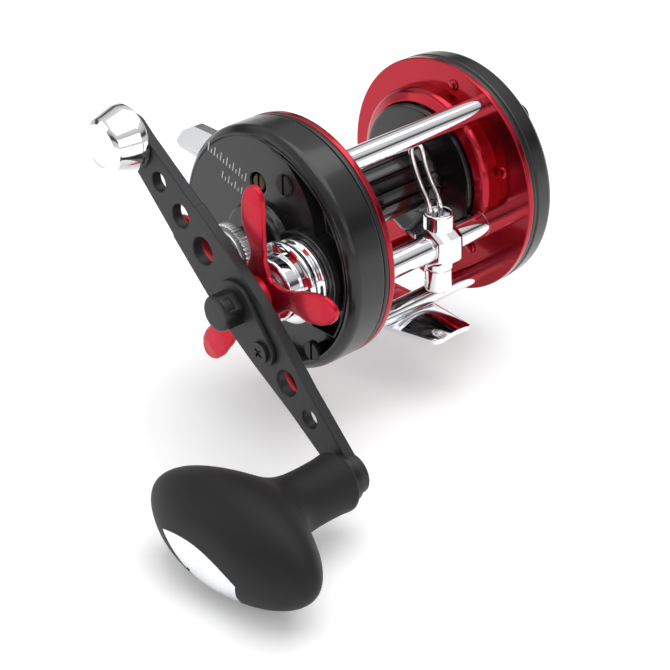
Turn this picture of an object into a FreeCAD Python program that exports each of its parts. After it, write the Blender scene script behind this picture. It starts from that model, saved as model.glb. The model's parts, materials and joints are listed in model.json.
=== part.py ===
import FreeCAD, Part
import Sketcher
import math
import os
import re

# Baitcasting reel.  Millimetres.  +X along the spool towards the handle, +Y forward over the
# line guide, +Z up.  The origin is the middle of the foot's flat underside.
# Names ending in _y and _up place an axis: forward of, and above, the side plates' centre.

SIZES = {
    # side plates and covers
    "axle_height": 27.0, "plate_radius": 30.0, "plate_inner": 22.4, "plate_wall": 1.7,
    "mouth_radius": 18.1, "lip_radius": 20.7, "lip_foot_radius": 21.25, "lip_x": 18.0, "mouth_x": 16.9,
    "trim_width": 1.2, "shell_wall": 1.6, "cover_face": 35.1, "palm_face": 31.5, "palm_crown": 33.0,
    "pocket_radius": 27.7, "pocket_depth": 4.0, "face_y": -3.8, "face_up": 7.6, "face_radius": 20.8,
    "pocket_low": -14.0, "gear_boss_radius": 10.8, "gear_boss_face": 36.6, "spool_boss_radius": 9.6,
    "spool_boss_face": 38.0, "neck_radius": 4.9, "neck_end": 45.8, "edge_round": 0.9,
    # axes
    "spool_y": -1.2, "spool_up": 2.3, "drive_y": 14.0, "drive_up": -0.6, "worm_y": 19.3,
    "worm_up": -4.6, "top_y": 12.6, "top_up": 22.1, "low_y": 12.0, "low_up": -23.1,
    # pillars and foot
    "top_pillar_radius": 2.8, "low_pillar_radius": 2.5, "screw_shank": 1.2, "screw_head": 2.0,
    "screw_head_height": 0.9, "screw_reach": 6.0, "foot_length": 55.6, "foot_root_half": 8.35,
    "foot_tip_half": 5.9, "foot_wall": 1.2, "foot_arch_radius": 22.0, "saddle_half": 15.2,
    "saddle_height": 1.4, "rivet_x": 5.0, "rivet_radius": 0.9, "rivet_top": 3.6, "rivet_head": 1.7,
    "rivet_head_height": 0.6,
    # level wind
    "tube_radius": 3.3, "tube_bore": 2.65, "slot_half": 1.05, "slot_reach": 16.5, "worm_radius": 2.3,
    "worm_reach": 18.0, "journal_radius": 1.2, "carriage_x": -2.5, "carriage_half": 4.1,
    "carriage_radius": 5.5, "collar_radius": 3.7, "collar_top": 8.4, "cap_radius": 3.3,
    "cap_top": -6.2, "cap_bottom": -12.2, "wire_radius": 0.62, "leg_half": 1.7,
    # spool
    "flange_radius": 17.75, "flange_x": 15.7, "flange_wall": 1.1, "arbor_radius": 7.8,
    "arbor_flare": 9.2, "spool_bore": 1.3, "shaft_radius": 1.2, "shaft_left": -28.6,
    "shaft_right": 43.6, "groove_depth": 0.45, "groove_half": 0.35, "groove_count": 14,
    "bearing_radius": 3.9, "bearing_width": 2.5,
    # gearing
    "bridge_x": 24.1, "bridge_wall": 1.1, "bridge_radius": 21.0, "main_teeth": 63, "pinion_teeth": 10,
    "gear_left": 26.7, "gear_right": 29.0, "pinion_left": 26.4, "pinion_right": 31.2, "cog_left": 25.35,
    "cog_right": 26.35, "drive_cog_teeth": 18, "worm_cog_teeth": 15, "drive_radius": 2.5,
    "drive_bore": 2.55, "clutch_travel": 2.0,
    # sleeve, star and cap
    "sleeve_flange": 9.3, "sleeve_neck": 8.3, "sleeve_ring": 9.9, "sleeve_body": 7.6,
    "sleeve_end": 46.6, "star_face": 49.4, "star_wall": 1.3, "star_hub": 6.6, "star_reach": 28.0,
    "star_rise": 1.6, "cap_face": 47.4, "knurl_left": 42.7, "knurl_right": 46.2, "knurl_radius": 7.4,
    "cap_rim": 6.9,
    # handle
    "arm_face": 55.9, "arm_wall": 2.7, "arm_tilt": -39.5, "arm_hub_half": 8.0, "arm_knob": 45.3,
    "arm_weight": 46.0, "arm_knob_half": 3.1, "arm_weight_half": 4.4, "knob_boss": 4.9,
    "nut_across": 3.9, "nut_face": 62.2, "lock_wall": 1.2, "lock_screw_at": 12.0,
    "weight_base": 8.0, "weight_tip": 5.9, "weight_height": 8.4, "knob_end": 97.4,
    "knob_neck": 6.7, "knob_long": 25.6, "knob_short": 13.0, "knob_deep": 11.8, "knob_middle": 86.8,
    "knob_crown": 70.0, "knob_tilt": 3.0, "badge_radius": 24.8, "badge_half": 4.9, "badge_tilt": -13.0,
    "badge_wall": 1.2, "badge_y": 1.2, "badge_up": -3.6, "badge_cut": 8.9,
    "spindle_radius": 2.0,
    # free-spool lever
    "lever_travel": 3.0, "lever_left": 26.4, "lever_right": 32.0, "lever_low": 13.2, "lever_high": 19.3,
    "lever_tip_low": 14.2, "lever_slope_x": 29.0, "leg_left": 27.6, "leg_wall": 1.2, "leg_low": 4.0,
}

doc = FreeCAD.newDocument("Reel")
sheet = doc.addObject("Spreadsheet::Sheet", "sizes")
for row, (alias, value) in enumerate(SIZES.items(), start=1):
    sheet.set(f"A{row}", alias)
    sheet.set(f"B{row}", str(value))
    sheet.setAlias(f"B{row}", alias)
doc.recompute()

ALONG_X = FreeCAD.Rotation(FreeCAD.Vector(0, 1, 0), 90)
UPRIGHT = FreeCAD.Rotation()
ALIAS = re.compile(r"\b(" + "|".join(SIZES) + r")\b")
kept = []


# --- expressions -------------------------------------------------------------------------

def linked(text):
    """The same formula with each size looked up in the sheet."""
    return ALIAS.sub(lambda word: "sizes." + word.group(1), str(text))


def value(text):
    """The number that a formula has now."""
    return float(sheet.evalExpression(linked(text)))


def bind(obj, prop, text):
    obj.setExpression(prop, linked(text))


def place(obj, x, y, z, rotation=UPRIGHT):
    obj.Placement = FreeCAD.Placement(FreeCAD.Vector(value(x), value(y), value(z)), rotation)
    for letter, text in zip("xyz", (x, y, z)):
        bind(obj, "Placement.Base." + letter, text)


def axis(name):
    """Place of a named axis: how far forward, and how high."""
    return name + "_y", "axle_height + " + name + "_up"


# --- building blocks ---------------------------------------------------------------------

def rod(name, radius, left, right, centre):
    """Cylinder along X from left to right."""
    obj = doc.addObject("Part::Cylinder", name)
    bind(obj, "Radius", radius)
    bind(obj, "Height", f"({right}) - ({left})")
    place(obj, left, centre[0], centre[1], ALONG_X)
    return obj


def post(name, radius, low, high, x, y):
    """Cylinder along Z from low to high."""
    obj = doc.addObject("Part::Cylinder", name)
    bind(obj, "Radius", radius)
    bind(obj, "Height", f"({high}) - ({low})")
    place(obj, x, y, low)
    return obj


def block(name, x, y, z):
    """Box between the two formulas given for each axis."""
    obj = doc.addObject("Part::Box", name)
    for prop, (low, high) in zip(("Length", "Width", "Height"), (x, y, z)):
        bind(obj, prop, f"({high}) - ({low})")
    place(obj, x[0], y[0], z[0])
    return obj


def join(name, *pieces):
    if len(pieces) == 1:
        return pieces[0]
    obj = doc.addObject("Part::MultiFuse", name)
    obj.Shapes = list(pieces)
    return obj


def cut(name, base, *tools):
    obj = doc.addObject("Part::Cut", name)
    obj.Base = base
    obj.Tool = join(name + "_tools", *tools)
    return obj


def common(name, *pieces):
    obj = doc.addObject("Part::MultiCommon", name)
    obj.Shapes = list(pieces)
    return obj


def ring(name, outer, inner, left, right, centre):
    return cut(name, rod(name + "_outer", outer, left, right, centre),
               rod(name + "_bore", inner, f"({left}) - 1", f"({right}) + 1", centre))


def group(name, *pieces):
    """Separate solids that share one node."""
    obj = doc.addObject("Part::Compound", name)
    obj.Links = list(pieces)
    return obj


def turned(name, profile, centre, x="0"):
    """Body turned about X from a closed outline of (along, radius) formulas."""
    body = doc.addObject("PartDesign::Body", name)
    sketch = body.newObject("Sketcher::SketchObject", name + "_outline")
    plane = [item for item in body.Origin.OriginFeatures if item.Role == "XY_Plane"][0]
    sketch.AttachmentSupport = (plane, [""])
    sketch.MapMode = "FlatFace"
    points = [FreeCAD.Vector(value(along), value(radius), 0) for along, radius in profile]
    lines = [Part.LineSegment(a, b) for a, b in zip(points, points[1:] + points[:1])]
    sketch.addGeometry(lines, False)
    for index in range(len(lines)):
        sketch.addConstraint(Sketcher.Constraint("Coincident", index, 2, (index + 1) % len(lines), 1))
    for index, texts in enumerate(profile):
        for kind, text in zip(("DistanceX", "DistanceY"), texts):
            number = sketch.addConstraint(Sketcher.Constraint(kind, -1, 1, index, 1, value(text)))
            bind(sketch, f"Constraints[{number}]", text)
    feature = body.newObject("PartDesign::Revolution", name + "_turning")
    feature.Profile = sketch
    feature.ReferenceAxis = (sketch, ["H_Axis"])
    feature.Angle = 360
    place(body, x, centre[0], centre[1])
    body.Tip = feature
    return body


def keep(label, obj):
    """Name a finished sub-part; the name is also its file's."""
    obj.Label = label
    kept.append(obj)
    return obj


def shaped(label, shape):
    """Sub-part whose outline no primitive gives, built from the sheet's sizes."""
    obj = doc.addObject("Part::Feature", label)
    obj.Shape = shape
    return obj



PLATE = ("0", "axle_height")
SPOOL = axis("spool")
DRIVE = axis("drive")
WORM = axis("worm")
TOP = axis("top")
LOW = axis("low")
REAR = ("0 - low_y", LOW[1])


def shifted(centre, y, up):
    return f"{centre[0]} + ({y})", f"{centre[1]} + ({up})"


def spun(text):
    """An (along, radius) outline mirrored to the palm side."""
    return [(f"0 - ({along})", radius) for along, radius in text]


# --- frame -------------------------------------------------------------------------------

def frame_plate(label, side):
    """Red side plate: a disc with a raised lip round the spool's mouth."""
    def span(low, high):
        return (low, high) if side > 0 else (f"0 - ({high})", f"0 - ({low})")
    disc = rod(label + "_disc", "plate_radius", *span("plate_inner", "plate_inner + plate_wall"), PLATE)
    outline = [("plate_inner + 0.1", "mouth_radius - 1"), ("mouth_x", "mouth_radius - 1"),
               ("mouth_x", "mouth_radius + 0.3"), ("lip_x", "lip_radius"),
               ("lip_x + 0.5", "lip_radius + 0.3"), ("plate_inner + 0.1", "lip_foot_radius")]
    lip = turned(label + "_lip", outline if side > 0 else spun(outline), SPOOL)
    tools = [rod(label + "_mouth", "mouth_radius", *span("mouth_x - 1", "plate_inner + 3"), SPOOL),
             rod(label + "_tube_hole", "tube_radius + 0.02", *span("mouth_x - 1", "plate_inner + 3"), WORM)]
    for number, centre in enumerate((TOP, LOW, REAR)):
        tools.append(rod(f"{label}_screw_hole_{number}", "screw_shank + 0.02",
                         *span("plate_inner - 1", "plate_inner + 3"), centre))
    if side > 0:
        for number, centre in enumerate(bridge_screw_places()):
            tools.append(rod(f"{label}_bridge_hole_{number}", "0.82", "plate_inner - 1.2",
                             "plate_inner + 3", centre))
    return keep(label, cut(label, join(label + "_blank", disc, lip), *tools))


def pillar(label, radius, centre, riveted):
    bar = rod(label + "_bar", radius, "0 - plate_inner", "plate_inner", centre)
    tools = [rod(label + "_right", "screw_shank", "plate_inner - screw_reach", "plate_inner + 1", centre),
             rod(label + "_left", "screw_shank", "0 - plate_inner - 1", "screw_reach - plate_inner", centre)]
    if riveted:
        for number, sign in enumerate((-1, 1)):
            tools.append(post(f"{label}_rivet_hole_{number}", "rivet_radius", "0 - 1", "rivet_top",
                              f"{sign} * rivet_x", centre[0]))
        tools.append(block(label + "_flat", ("0 - foot_root_half - 0.2", "foot_root_half + 0.2"),
                           (f"{centre[0]} - 4", f"{centre[0]} + 4"), ("0 - 2", "saddle_height")))
    return keep(label, cut(label, bar, *tools))


def frame_screws():
    pieces = []
    for number, centre in enumerate((TOP, LOW, REAR)):
        outline = [("plate_inner - screw_reach + 0.5", "0"), ("plate_inner - screw_reach + 0.5",
                                                              "screw_shank"),
                   ("plate_inner + plate_wall", "screw_shank"), ("plate_inner + plate_wall", "screw_head"),
                   ("plate_inner + plate_wall + screw_head_height - 0.3", "screw_head"),
                   ("plate_inner + plate_wall + screw_head_height", "screw_head - 0.4"),
                   ("plate_inner + plate_wall + screw_head_height", "0")]
        pieces.append(turned(f"frame_screw_right_{number}", outline, centre))
        pieces.append(turned(f"frame_screw_left_{number}", spun(outline), centre))
    return keep("frame_screws", group("frame_screws", *pieces))


def reel_foot():
    """Two arched blades that taper to their tips, and a flat saddle under the lower pillars."""
    arch = doc.addObject("Part::Cylinder", "foot_arch")
    bind(arch, "Radius", "foot_arch_radius + foot_wall")
    bind(arch, "Height", "foot_length")
    hollow = doc.addObject("Part::Cylinder", "foot_hollow")
    bind(hollow, "Radius", "foot_arch_radius")
    bind(hollow, "Height", "foot_length")
    drop = "0 - sqrt(foot_arch_radius ^ 2 - foot_root_half ^ 2)"
    for item in (arch, hollow):
        place(item, "0", "foot_length / 2", drop, FreeCAD.Rotation(FreeCAD.Vector(1, 0, 0), 90))
    shell = cut("foot_shell", arch, hollow)
    half = value("foot_length") / 2
    root = value("foot_root_half")
    tip = value("foot_tip_half")
    saddle = value("saddle_half") - 3
    plan = [(root, -saddle), (root, saddle), (tip, half - 1.5), (tip - 1.5, half), (1.5 - tip, half),
            (-tip, half - 1.5), (-root, saddle), (-root, -saddle), (-tip, 1.5 - half), (1.5 - tip, -half),
            (tip - 1.5, -half), (tip, 1.5 - half)]
    wire = Part.makePolygon([FreeCAD.Vector(x, y, 0) for x, y in plan + plan[:1]])
    prism = shaped("foot_plan", Part.Face(wire).extrude(FreeCAD.Vector(0, 0, 8)))
    blades = common("foot_blades", shell, prism)
    clear = block("foot_clear", ("0 - 12", "12"), ("0.5 - saddle_half", "saddle_half - 0.5"),
                  ("saddle_height", "8"))
    saddle_plate = block("foot_saddle", ("0 - foot_root_half", "foot_root_half"),
                         ("0 - saddle_half", "saddle_half"), ("0", "saddle_height"))
    blank = join("foot_blank", cut("foot_blades_low", blades, clear), saddle_plate)
    tools = []
    for number, (x, y) in enumerate(rivet_places()):
        tools.append(post(f"foot_hole_{number}", "rivet_radius", "0 - 1", "4", x, y))
        tools.append(post(f"foot_sink_{number}", "rivet_head", "0 - 1", "rivet_head_height", x, y))
    under = block("foot_under", ("0 - 12", "12"), ("0 - 40", "40"), ("0 - 10", "0"))
    return keep("reel_foot", cut("reel_foot", blank, under, *tools))


def rivet_places():
    return [(f"{sx} * rivet_x", f"{sy} * low_y") for sx in (-1, 1) for sy in (-1, 1)]


def foot_rivets():
    pieces = []
    for number, (x, y) in enumerate(rivet_places()):
        stem = post(f"rivet_stem_{number}", "rivet_radius", "0", "rivet_top", x, y)
        head = post(f"rivet_head_{number}", "rivet_head", "0", "rivet_head_height", x, y)
        pieces.append(join(f"rivet_{number}", stem, head))
    return keep("foot_rivets", group("foot_rivets", *pieces))


def frame():
    frame_plate("handle_side_plate", 1)
    frame_plate("palm_side_plate", -1)
    pillar("top_front_pillar", "top_pillar_radius", TOP, False)
    pillar("lower_front_pillar", "low_pillar_radius", LOW, True)
    pillar("lower_rear_pillar", "low_pillar_radius", REAR, True)
    frame_screws()
    reel_foot()
    foot_rivets()


# --- covers ------------------------------------------------------------------------------

POST_HOLE = shifted(PLATE, "7.4", "19.4")
LOWER_HOLE = shifted(PLATE, "15.4", "0 - 20.6")
PLUG_HOLE = shifted(PLATE, "0 - 1.9", "16.7")


def pocket(name, grow, low):
    """Crescent in front of the raised face, round the gear boss."""
    disc = rod(name + "_disc", f"pocket_radius + ({grow})", low, "cover_face + 2", PLATE)
    face = rod(name + "_face", f"face_radius - ({grow})", "cover_face - 12", "cover_face + 3",
               shifted(PLATE, "face_y", "face_up"))
    boss = rod(name + "_boss", f"gear_boss_radius - ({grow})", "cover_face - 12", "cover_face + 3", DRIVE)
    rear = block(name + "_rear", ("cover_face - 12", "cover_face + 3"), ("0 - 40", f"face_y - ({grow})"),
                 ("axle_height - 40", "axle_height + 40"))
    below = block(name + "_below", ("cover_face - 12", "cover_face + 3"), ("0 - 40", "40"),
                  ("axle_height - 40", f"axle_height + pocket_low - ({grow})"))
    crescent = cut(name + "_crescent", disc, face, boss, rear, below)
    notch = rod(name + "_notch", f"4.2 + ({grow})", low, "cover_face + 2", shifted(PLATE, "8.2", "20.0"))
    return join(name, crescent, notch)


def handle_side_cover():
    low = "plate_inner + plate_wall + trim_width"
    outline = [(low, "0"), (low, "plate_radius - 0.35"), (f"{low} + 0.35", "plate_radius"),
               ("cover_face - edge_round", "plate_radius"), ("cover_face - 0.3 * edge_round",
                                                             "plate_radius - 0.3 * edge_round"),
               ("cover_face", "plate_radius - edge_round"), ("cover_face", "0")]
    blank = turned("cover_blank", outline, PLATE)
    gear_boss = rod("cover_gear_boss", "gear_boss_radius", "cover_face - 3", "gear_boss_face", DRIVE)
    spool_boss = cut("cover_spool_boss",
                     rod("cover_spool_boss_disc", "spool_boss_radius", "cover_face - 3", "spool_boss_face",
                         SPOOL),
                     rod("cover_flange_room", "sleeve_ring + 0.5", "gear_boss_face", "60", DRIVE))
    neck = rod("cover_neck", "neck_radius", "cover_face - 3", "neck_end", SPOOL)
    lower_boss = rod("cover_lower_boss", "3.4", "cover_face - 3", "cover_face + 0.4", LOWER_HOLE)
    cavity = cut("cover_cavity", rod("cover_hollow", "plate_radius - shell_wall", "20",
                                     "cover_face - shell_wall", PLATE),
                 pocket("pocket_back", "1.3", "cover_face - pocket_depth - 1.4"))
    solid = join("cover_solid", cut("cover_pocketed", blank, pocket("pocket", "0",
                                                                    "cover_face - pocket_depth")),
                 gear_boss, spool_boss, neck, lower_boss)
    tools = [cavity,
             rod("cover_plug_sink", "2.6", "cover_face - 1.1", "cover_face + 2", PLUG_HOLE),
             rod("cover_plug_hole", "1.25", "20", "cover_face + 2", PLUG_HOLE),
             rod("cover_post_hole", "1.35", "20", "cover_face + 2", POST_HOLE),
             rod("cover_lower_sink", "2.7", "cover_face - 1.0", "cover_face + 2", LOWER_HOLE),
             rod("cover_lower_hole", "1.35", "20", "cover_face + 2", LOWER_HOLE),
             rod("cover_sleeve_hole", "6.9", "20", "gear_boss_face + 1", DRIVE),
             rod("cover_shaft_hole", "shaft_radius + 0.4", "20", "neck_end + 1", SPOOL),
             rod("cover_bearing_seat", "bearing_radius", "neck_end - bearing_width - 1.6", "neck_end + 1",
                 SPOOL),
             rod("cover_pinion_room", "4.0", "20", "spool_boss_face", SPOOL),
             block("cover_lever_slot", ("lever_left - 0.2", "lever_right + 0.2"), ("0 - 40", "0 - 20.5"),
                   ("axle_height + lever_low - lever_travel - 0.3", "axle_height + lever_high + 0.1"))]
    return keep("handle_side_cover", cut("handle_side_cover", solid, *tools))


def palm_side_cover():
    low = "plate_inner + plate_wall + trim_width"
    outline = [(low, "0"), (low, "plate_radius - 0.35"), (f"{low} + 0.35", "plate_radius"),
               ("palm_face - 1.2", "plate_radius - 0.5"), ("palm_face - 0.3", "plate_radius - 1.4"),
               ("palm_face + 0.7", "plate_radius - 7"), ("palm_crown", "plate_radius - 15"),
               ("palm_crown", "0")]
    blank = turned("palm_blank", spun(outline), PLATE)
    hollow = rod("palm_hollow", "plate_radius - shell_wall", "1.4 - palm_face", "0 - 20", PLATE)
    hub = ring("palm_hub", "bearing_radius + 1.4", "bearing_radius", "0 - palm_crown + 0.5", "0 - 25.8",
               SPOOL)
    tools = []
    for number, centre in enumerate(palm_screw_places()):
        tools.append(rod(f"palm_hole_{number}", "1.35", "0 - 40", "0 - 20", centre))
        tools.append(rod(f"palm_sink_{number}", "3.0", "0 - 40", "0 - (palm_face + 0.3)", centre))
    return keep("palm_side_cover", cut("palm_side_cover", join("palm_solid", cut("palm_shell", blank,
                                                                                 hollow), hub), *tools))


def palm_screw_places():
    return [shifted(PLATE, str(round(24.2 * math.cos(math.radians(a)), 3)),
                    str(round(24.2 * math.sin(math.radians(a)), 3))) for a in (48, 168, 288)]


def slotted_screw(name, centre, low, face, head, height, shank, side=1):
    outline = [(low, "0"), (low, shank), (f"{face} - {height}", shank), (f"{face} - {height}", head),
               (f"{face} - 0.3", head), (face, f"{head} - 0.3"), (face, "0")]
    body = turned(name + "_body", outline if side > 0 else spun(outline), centre)
    near, far = (f"{face} - 0.7", f"{face} + 1") if side > 0 else (f"0 - {face} - 1", f"0.7 - {face}")
    slot = block(name + "_slot", (near, far), (f"{centre[0]} - 0.35", f"{centre[0]} + 0.35"),
                 (f"{centre[1]} - 4", f"{centre[1]} + 4"))
    return cut(name, body, slot)


def cover_fasteners():
    floor = "(cover_face - pocket_depth)"
    stem = rod("thumb_screw_stem", "1.9", floor, "cover_face - 1.2", POST_HOLE)
    head = slotted_screw("thumb_screw", POST_HOLE, "plate_inner + plate_wall + 1.3", "(cover_face + 0.6)",
                         "2.6", "2.2", "1.3")
    keep("cover_thumb_screw", join("cover_thumb_screw", head, stem))
    keep("cover_lower_screw", slotted_screw("cover_lower_screw", LOWER_HOLE, "plate_inner + plate_wall + 1.3",
                                            "(cover_face + 0.3)", "2.55", "1.3", "1.3"))
    keep("oil_port_screw", slotted_screw("oil_port_screw", PLUG_HOLE, "cover_face - shell_wall - 1.2",
                                         "(cover_face - 0.2)", "2.1", "0.9", "1.2"))
    screws = [slotted_screw(f"palm_screw_{number}", centre, "plate_inner + plate_wall + 1.3",
                            "(palm_face + 2.2)", "2.9", "1.9", "1.3", -1)
              for number, centre in enumerate(palm_screw_places())]
    keep("palm_cover_screws", group("palm_cover_screws", *screws))


def covers():
    handle_side_cover()
    palm_side_cover()
    low = "plate_inner + plate_wall"
    keep("handle_side_trim_ring", ring("handle_side_trim_ring", "plate_radius", "plate_radius - shell_wall",
                                       low,
                                       f"{low} + trim_width", PLATE))
    keep("palm_side_trim_ring", ring("palm_side_trim_ring", "plate_radius", "plate_radius - shell_wall",
                                     f"0 - ({low}) - trim_width", f"0 - ({low})", PLATE))
    cover_fasteners()


# --- level wind --------------------------------------------------------------------------

def level_wind_tube():
    bar = rod("tube_bar", "tube_radius", "0 - plate_inner - plate_wall", "plate_inner + plate_wall", WORM)
    bore = rod("tube_bore_cut", "tube_bore", "0 - 30", "30", WORM)
    slot = block("tube_slot", ("0 - slot_reach", "slot_reach"), ("worm_y - slot_half", "worm_y + slot_half"),
                 (f"{WORM[1]} - tube_radius - 1", WORM[1]))
    return keep("level_wind_tube", cut("level_wind_tube", bar, bore, slot))


def worm():
    """Worm shaft: the screw between two plain journals."""
    outline = [("0 - plate_inner - 1", "0"), ("0 - plate_inner - 1", "journal_radius"),
               ("0 - worm_reach", "journal_radius"), ("0 - worm_reach", "worm_radius"),
               ("worm_reach", "worm_radius"), ("worm_reach", "journal_radius"),
               ("cog_right + 0.1", "journal_radius"), ("cog_right + 0.1", "0")]
    keep("worm_shaft", turned("worm_shaft", outline, WORM))
    left = ring("worm_bush_left", "tube_bore", "journal_radius + 0.05", "0 - plate_inner - 1.2",
                "0 - worm_reach - 1.4", WORM)
    right = ring("worm_bush_right", "tube_bore", "journal_radius + 0.05", "worm_reach + 1.4",
                 "plate_inner + 1.2", WORM)
    keep("worm_bushes", group("worm_bushes", left, right))


def carriage():
    """Chrome block that rides on the tube, with a collar above and a socket below."""
    x, (y, z) = "carriage_x", WORM
    outline = [("0 - carriage_half", "0"), ("0 - carriage_half", "carriage_radius - 1.1"),
               ("0.9 - carriage_half", "carriage_radius - 0.2"), ("0 - 0.4 * carriage_half",
                                                                  "carriage_radius + 0.3"),
               ("0.4 * carriage_half", "carriage_radius + 0.3"), ("carriage_half - 0.9",
                                                                  "carriage_radius - 0.2"),
               ("carriage_half", "carriage_radius - 1.1"), ("carriage_half", "0")]
    barrel = turned("carriage_barrel", outline, WORM, x)
    collar = post("carriage_collar", "collar_radius", z, f"{z} + collar_top", x, y)
    socket = post("carriage_socket", "cap_radius + 0.3", f"{z} + cap_top", z, x, y)
    room = rod("carriage_bore", "tube_radius + 0.05", "carriage_x - 9", "carriage_x + 9", WORM)
    well = post("carriage_well", "collar_radius - 0.8", f"{z} + collar_top - 1.6", f"{z} + collar_top + 1",
                x, y)
    pawl_room = post("carriage_pawl_room", "1.75", f"{z} + cap_top - 1", z, x, y)
    keep("line_guide_carriage", cut("line_guide_carriage", join("carriage_blank", barrel, collar, socket),
                                    room, well, pawl_room))
    outer = post("pawl_cap_outer", "cap_radius", f"{z} + cap_bottom", f"{z} + cap_top", x, y)
    inner = post("pawl_cap_inner", "1.75", f"{z} + cap_bottom + 1.2", f"{z} + cap_top + 1", x, y)
    keep("pawl_cap", cut("pawl_cap", outer, inner))
    stem = post("pawl_stem", "1.7", f"{z} + cap_bottom + 1.25", f"{z} - tube_radius - 0.1", x, y)
    blade = common("pawl_blade",
                   post("pawl_blade_round", "0.95", f"{z} - tube_radius - 0.3", f"{z} - worm_radius - 0.02",
                        x, y),
                   block("pawl_blade_flat", ("carriage_x - 0.95", "carriage_x + 0.95"),
                         ("worm_y - 0.45", "worm_y + 0.45"), (f"{z} - 6", z)))
    keep("line_guide_pawl", join("line_guide_pawl", stem, blade))


def line_guide_wire():
    """Bent wire loop: two legs that lean back over the spool, closed by a half round at the top."""
    foot_up = value("collar_top") - 1.6
    leg = [(-0.9, foot_up), (-1.9, foot_up + 3.6), (-4.3, foot_up + 7.2), (-6.6, foot_up
                                                                           + 11.6), (-7.75, foot_up + 14.9)]
    centre_y = value(WORM[0])
    centre_z = value(WORM[1])
    half = value("leg_half")
    middle = value("carriage_x")
    sides = [[FreeCAD.Vector(middle + sign * half, centre_y + y, centre_z + up) for y,
              up in leg] for sign in (-1, 1)]
    rise = (sides[0][-1] - sides[0][-2]).normalize()
    crown = (sides[0][-1] + sides[1][-1]) * 0.5 + rise * half
    curves = []
    for points in sides:
        curve = Part.BSplineCurve()
        curve.interpolate(points, InitialTangent=FreeCAD.Vector(0, 0, 1), FinalTangent=rise)
        curves.append(curve.toShape())
    top = Part.Arc(sides[0][-1], crown, sides[1][-1]).toShape()
    path = Part.Wire(Part.__sortEdges__([curves[0], top, curves[1]]))
    start = path.OrderedVertexes[0].Point
    section = Part.Wire(Part.makeCircle(value("wire_radius"), start, FreeCAD.Vector(0, 0, 1)))
    return keep("line_guide_wire", shaped("line_guide_wire", path.makePipeShell([section], True, True)))


def level_wind():
    level_wind_tube()
    worm()
    carriage()
    line_guide_wire()


# --- spool -------------------------------------------------------------------------------

def spool():
    outer = "flange_x + flange_wall"
    half = [("0", "arbor_radius"), ("flange_x - 3.4", "arbor_radius"), ("flange_x - 1.2", "arbor_flare"),
            ("flange_x - 0.5", "flange_radius - 0.8"), ("flange_x - 0.2", "flange_radius"),
            (outer, "flange_radius"), (outer, "flange_radius - 1.2"), ("flange_x + 0.4", "flange_radius - 2"),
            ("flange_x + 0.4", "arbor_radius - 1.3"), ("flange_x - 4.5",
                                                       "arbor_radius - 1.3"), ("flange_x - 4.5", "2.8"),
            (outer, "2.8"), (outer, "spool_bore")]
    outline = half + [(f"0 - ({along})", radius) for along, radius in reversed(half[1:])]
    blank = turned("spool_blank", outline, SPOOL)
    count = int(value("groove_count"))
    bar = block("spool_groove", ("3.6 - flange_x", "flange_x - 3.6"), ("0 - groove_half", "groove_half"),
                ("arbor_radius - groove_depth", "arbor_radius + 2"))
    tools = []
    for index in range(count):
        turn = FreeCAD.Rotation(FreeCAD.Vector(1, 0, 0), 360.0 * index / count)
        link = doc.addObject("App::Link", f"spool_groove_{index}")
        link.LinkedObject = bar
        seat = FreeCAD.Placement(FreeCAD.Vector(0, value(SPOOL[0]), value(SPOOL[1])), turn)
        link.Placement = seat.multiply(bar.Placement)
        tools.append(link)
    keep("spool", cut("spool", blank, *tools))
    keep("spool_shaft", rod("spool_shaft", "shaft_radius", "shaft_left", "shaft_right", SPOOL))
    bearing_seats = (("0 - 28.4", "0 - 28.4 + bearing_width"), ("neck_end - bearing_width - 1.5",
                                                                "neck_end - 1.5"))
    bearings = [ring(f"spool_bearing_{number}", "bearing_radius - 0.02", "shaft_radius + 0.03", low, high,
                     SPOOL)
                for number, (low, high) in enumerate(bearing_seats)]
    keep("spool_bearings", group("spool_bearings", *bearings))


def brakes():
    """Two blocks that slide out on pins and rub inside a ring as the spool turns fast."""
    hub = ring("brake_hub", "3.6", "spool_bore", "0 - 21.2", "0 - 19.2", SPOOL)
    pins = []
    for number, sign in enumerate((-1, 1)):
        pin = doc.addObject("Part::Cylinder", f"brake_pin_{number}")
        pin.Radius = 0.5
        pin.Height = 8.4
        place(pin, "0 - 20.2", SPOOL[0], SPOOL[1], FreeCAD.Rotation(FreeCAD.Vector(1, 0, 0), -90 * sign))
        pins.append(pin)
    carrier = cut("brake_carrier", join("brake_carrier_blank", hub, *pins),
                  rod("brake_carrier_bore", "spool_bore", "0 - 30", "0 - 10", SPOOL))
    keep("brake_carrier", carrier)
    for label, near, far, ends in (("brake_block_front", "4.4", "7.2", 1), ("brake_block_rear", "0 - 7.2",
                                                                            "0 - 4.4", -1)):
        body = block(label + "_body", ("0 - 21.4", "0 - 19.0"), (f"spool_y + {near}", f"spool_y + {far}"),
                     (f"{SPOOL[1]} - 1.4", f"{SPOOL[1]} + 1.4"))
        hole = doc.addObject("Part::Cylinder", label + "_hole")
        hole.Radius = 0.55
        hole.Height = 12
        place(hole, "0 - 20.2", SPOOL[0], SPOOL[1], FreeCAD.Rotation(FreeCAD.Vector(1, 0, 0), -90 * ends))
        keep(label, cut(label, body, hole))
    keep("brake_ring", ring("brake_ring", "10.4", "9.2", "0 - 30.1", "0 - 18.6", SPOOL))


# --- gearing -----------------------------------------------------------------------------

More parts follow.
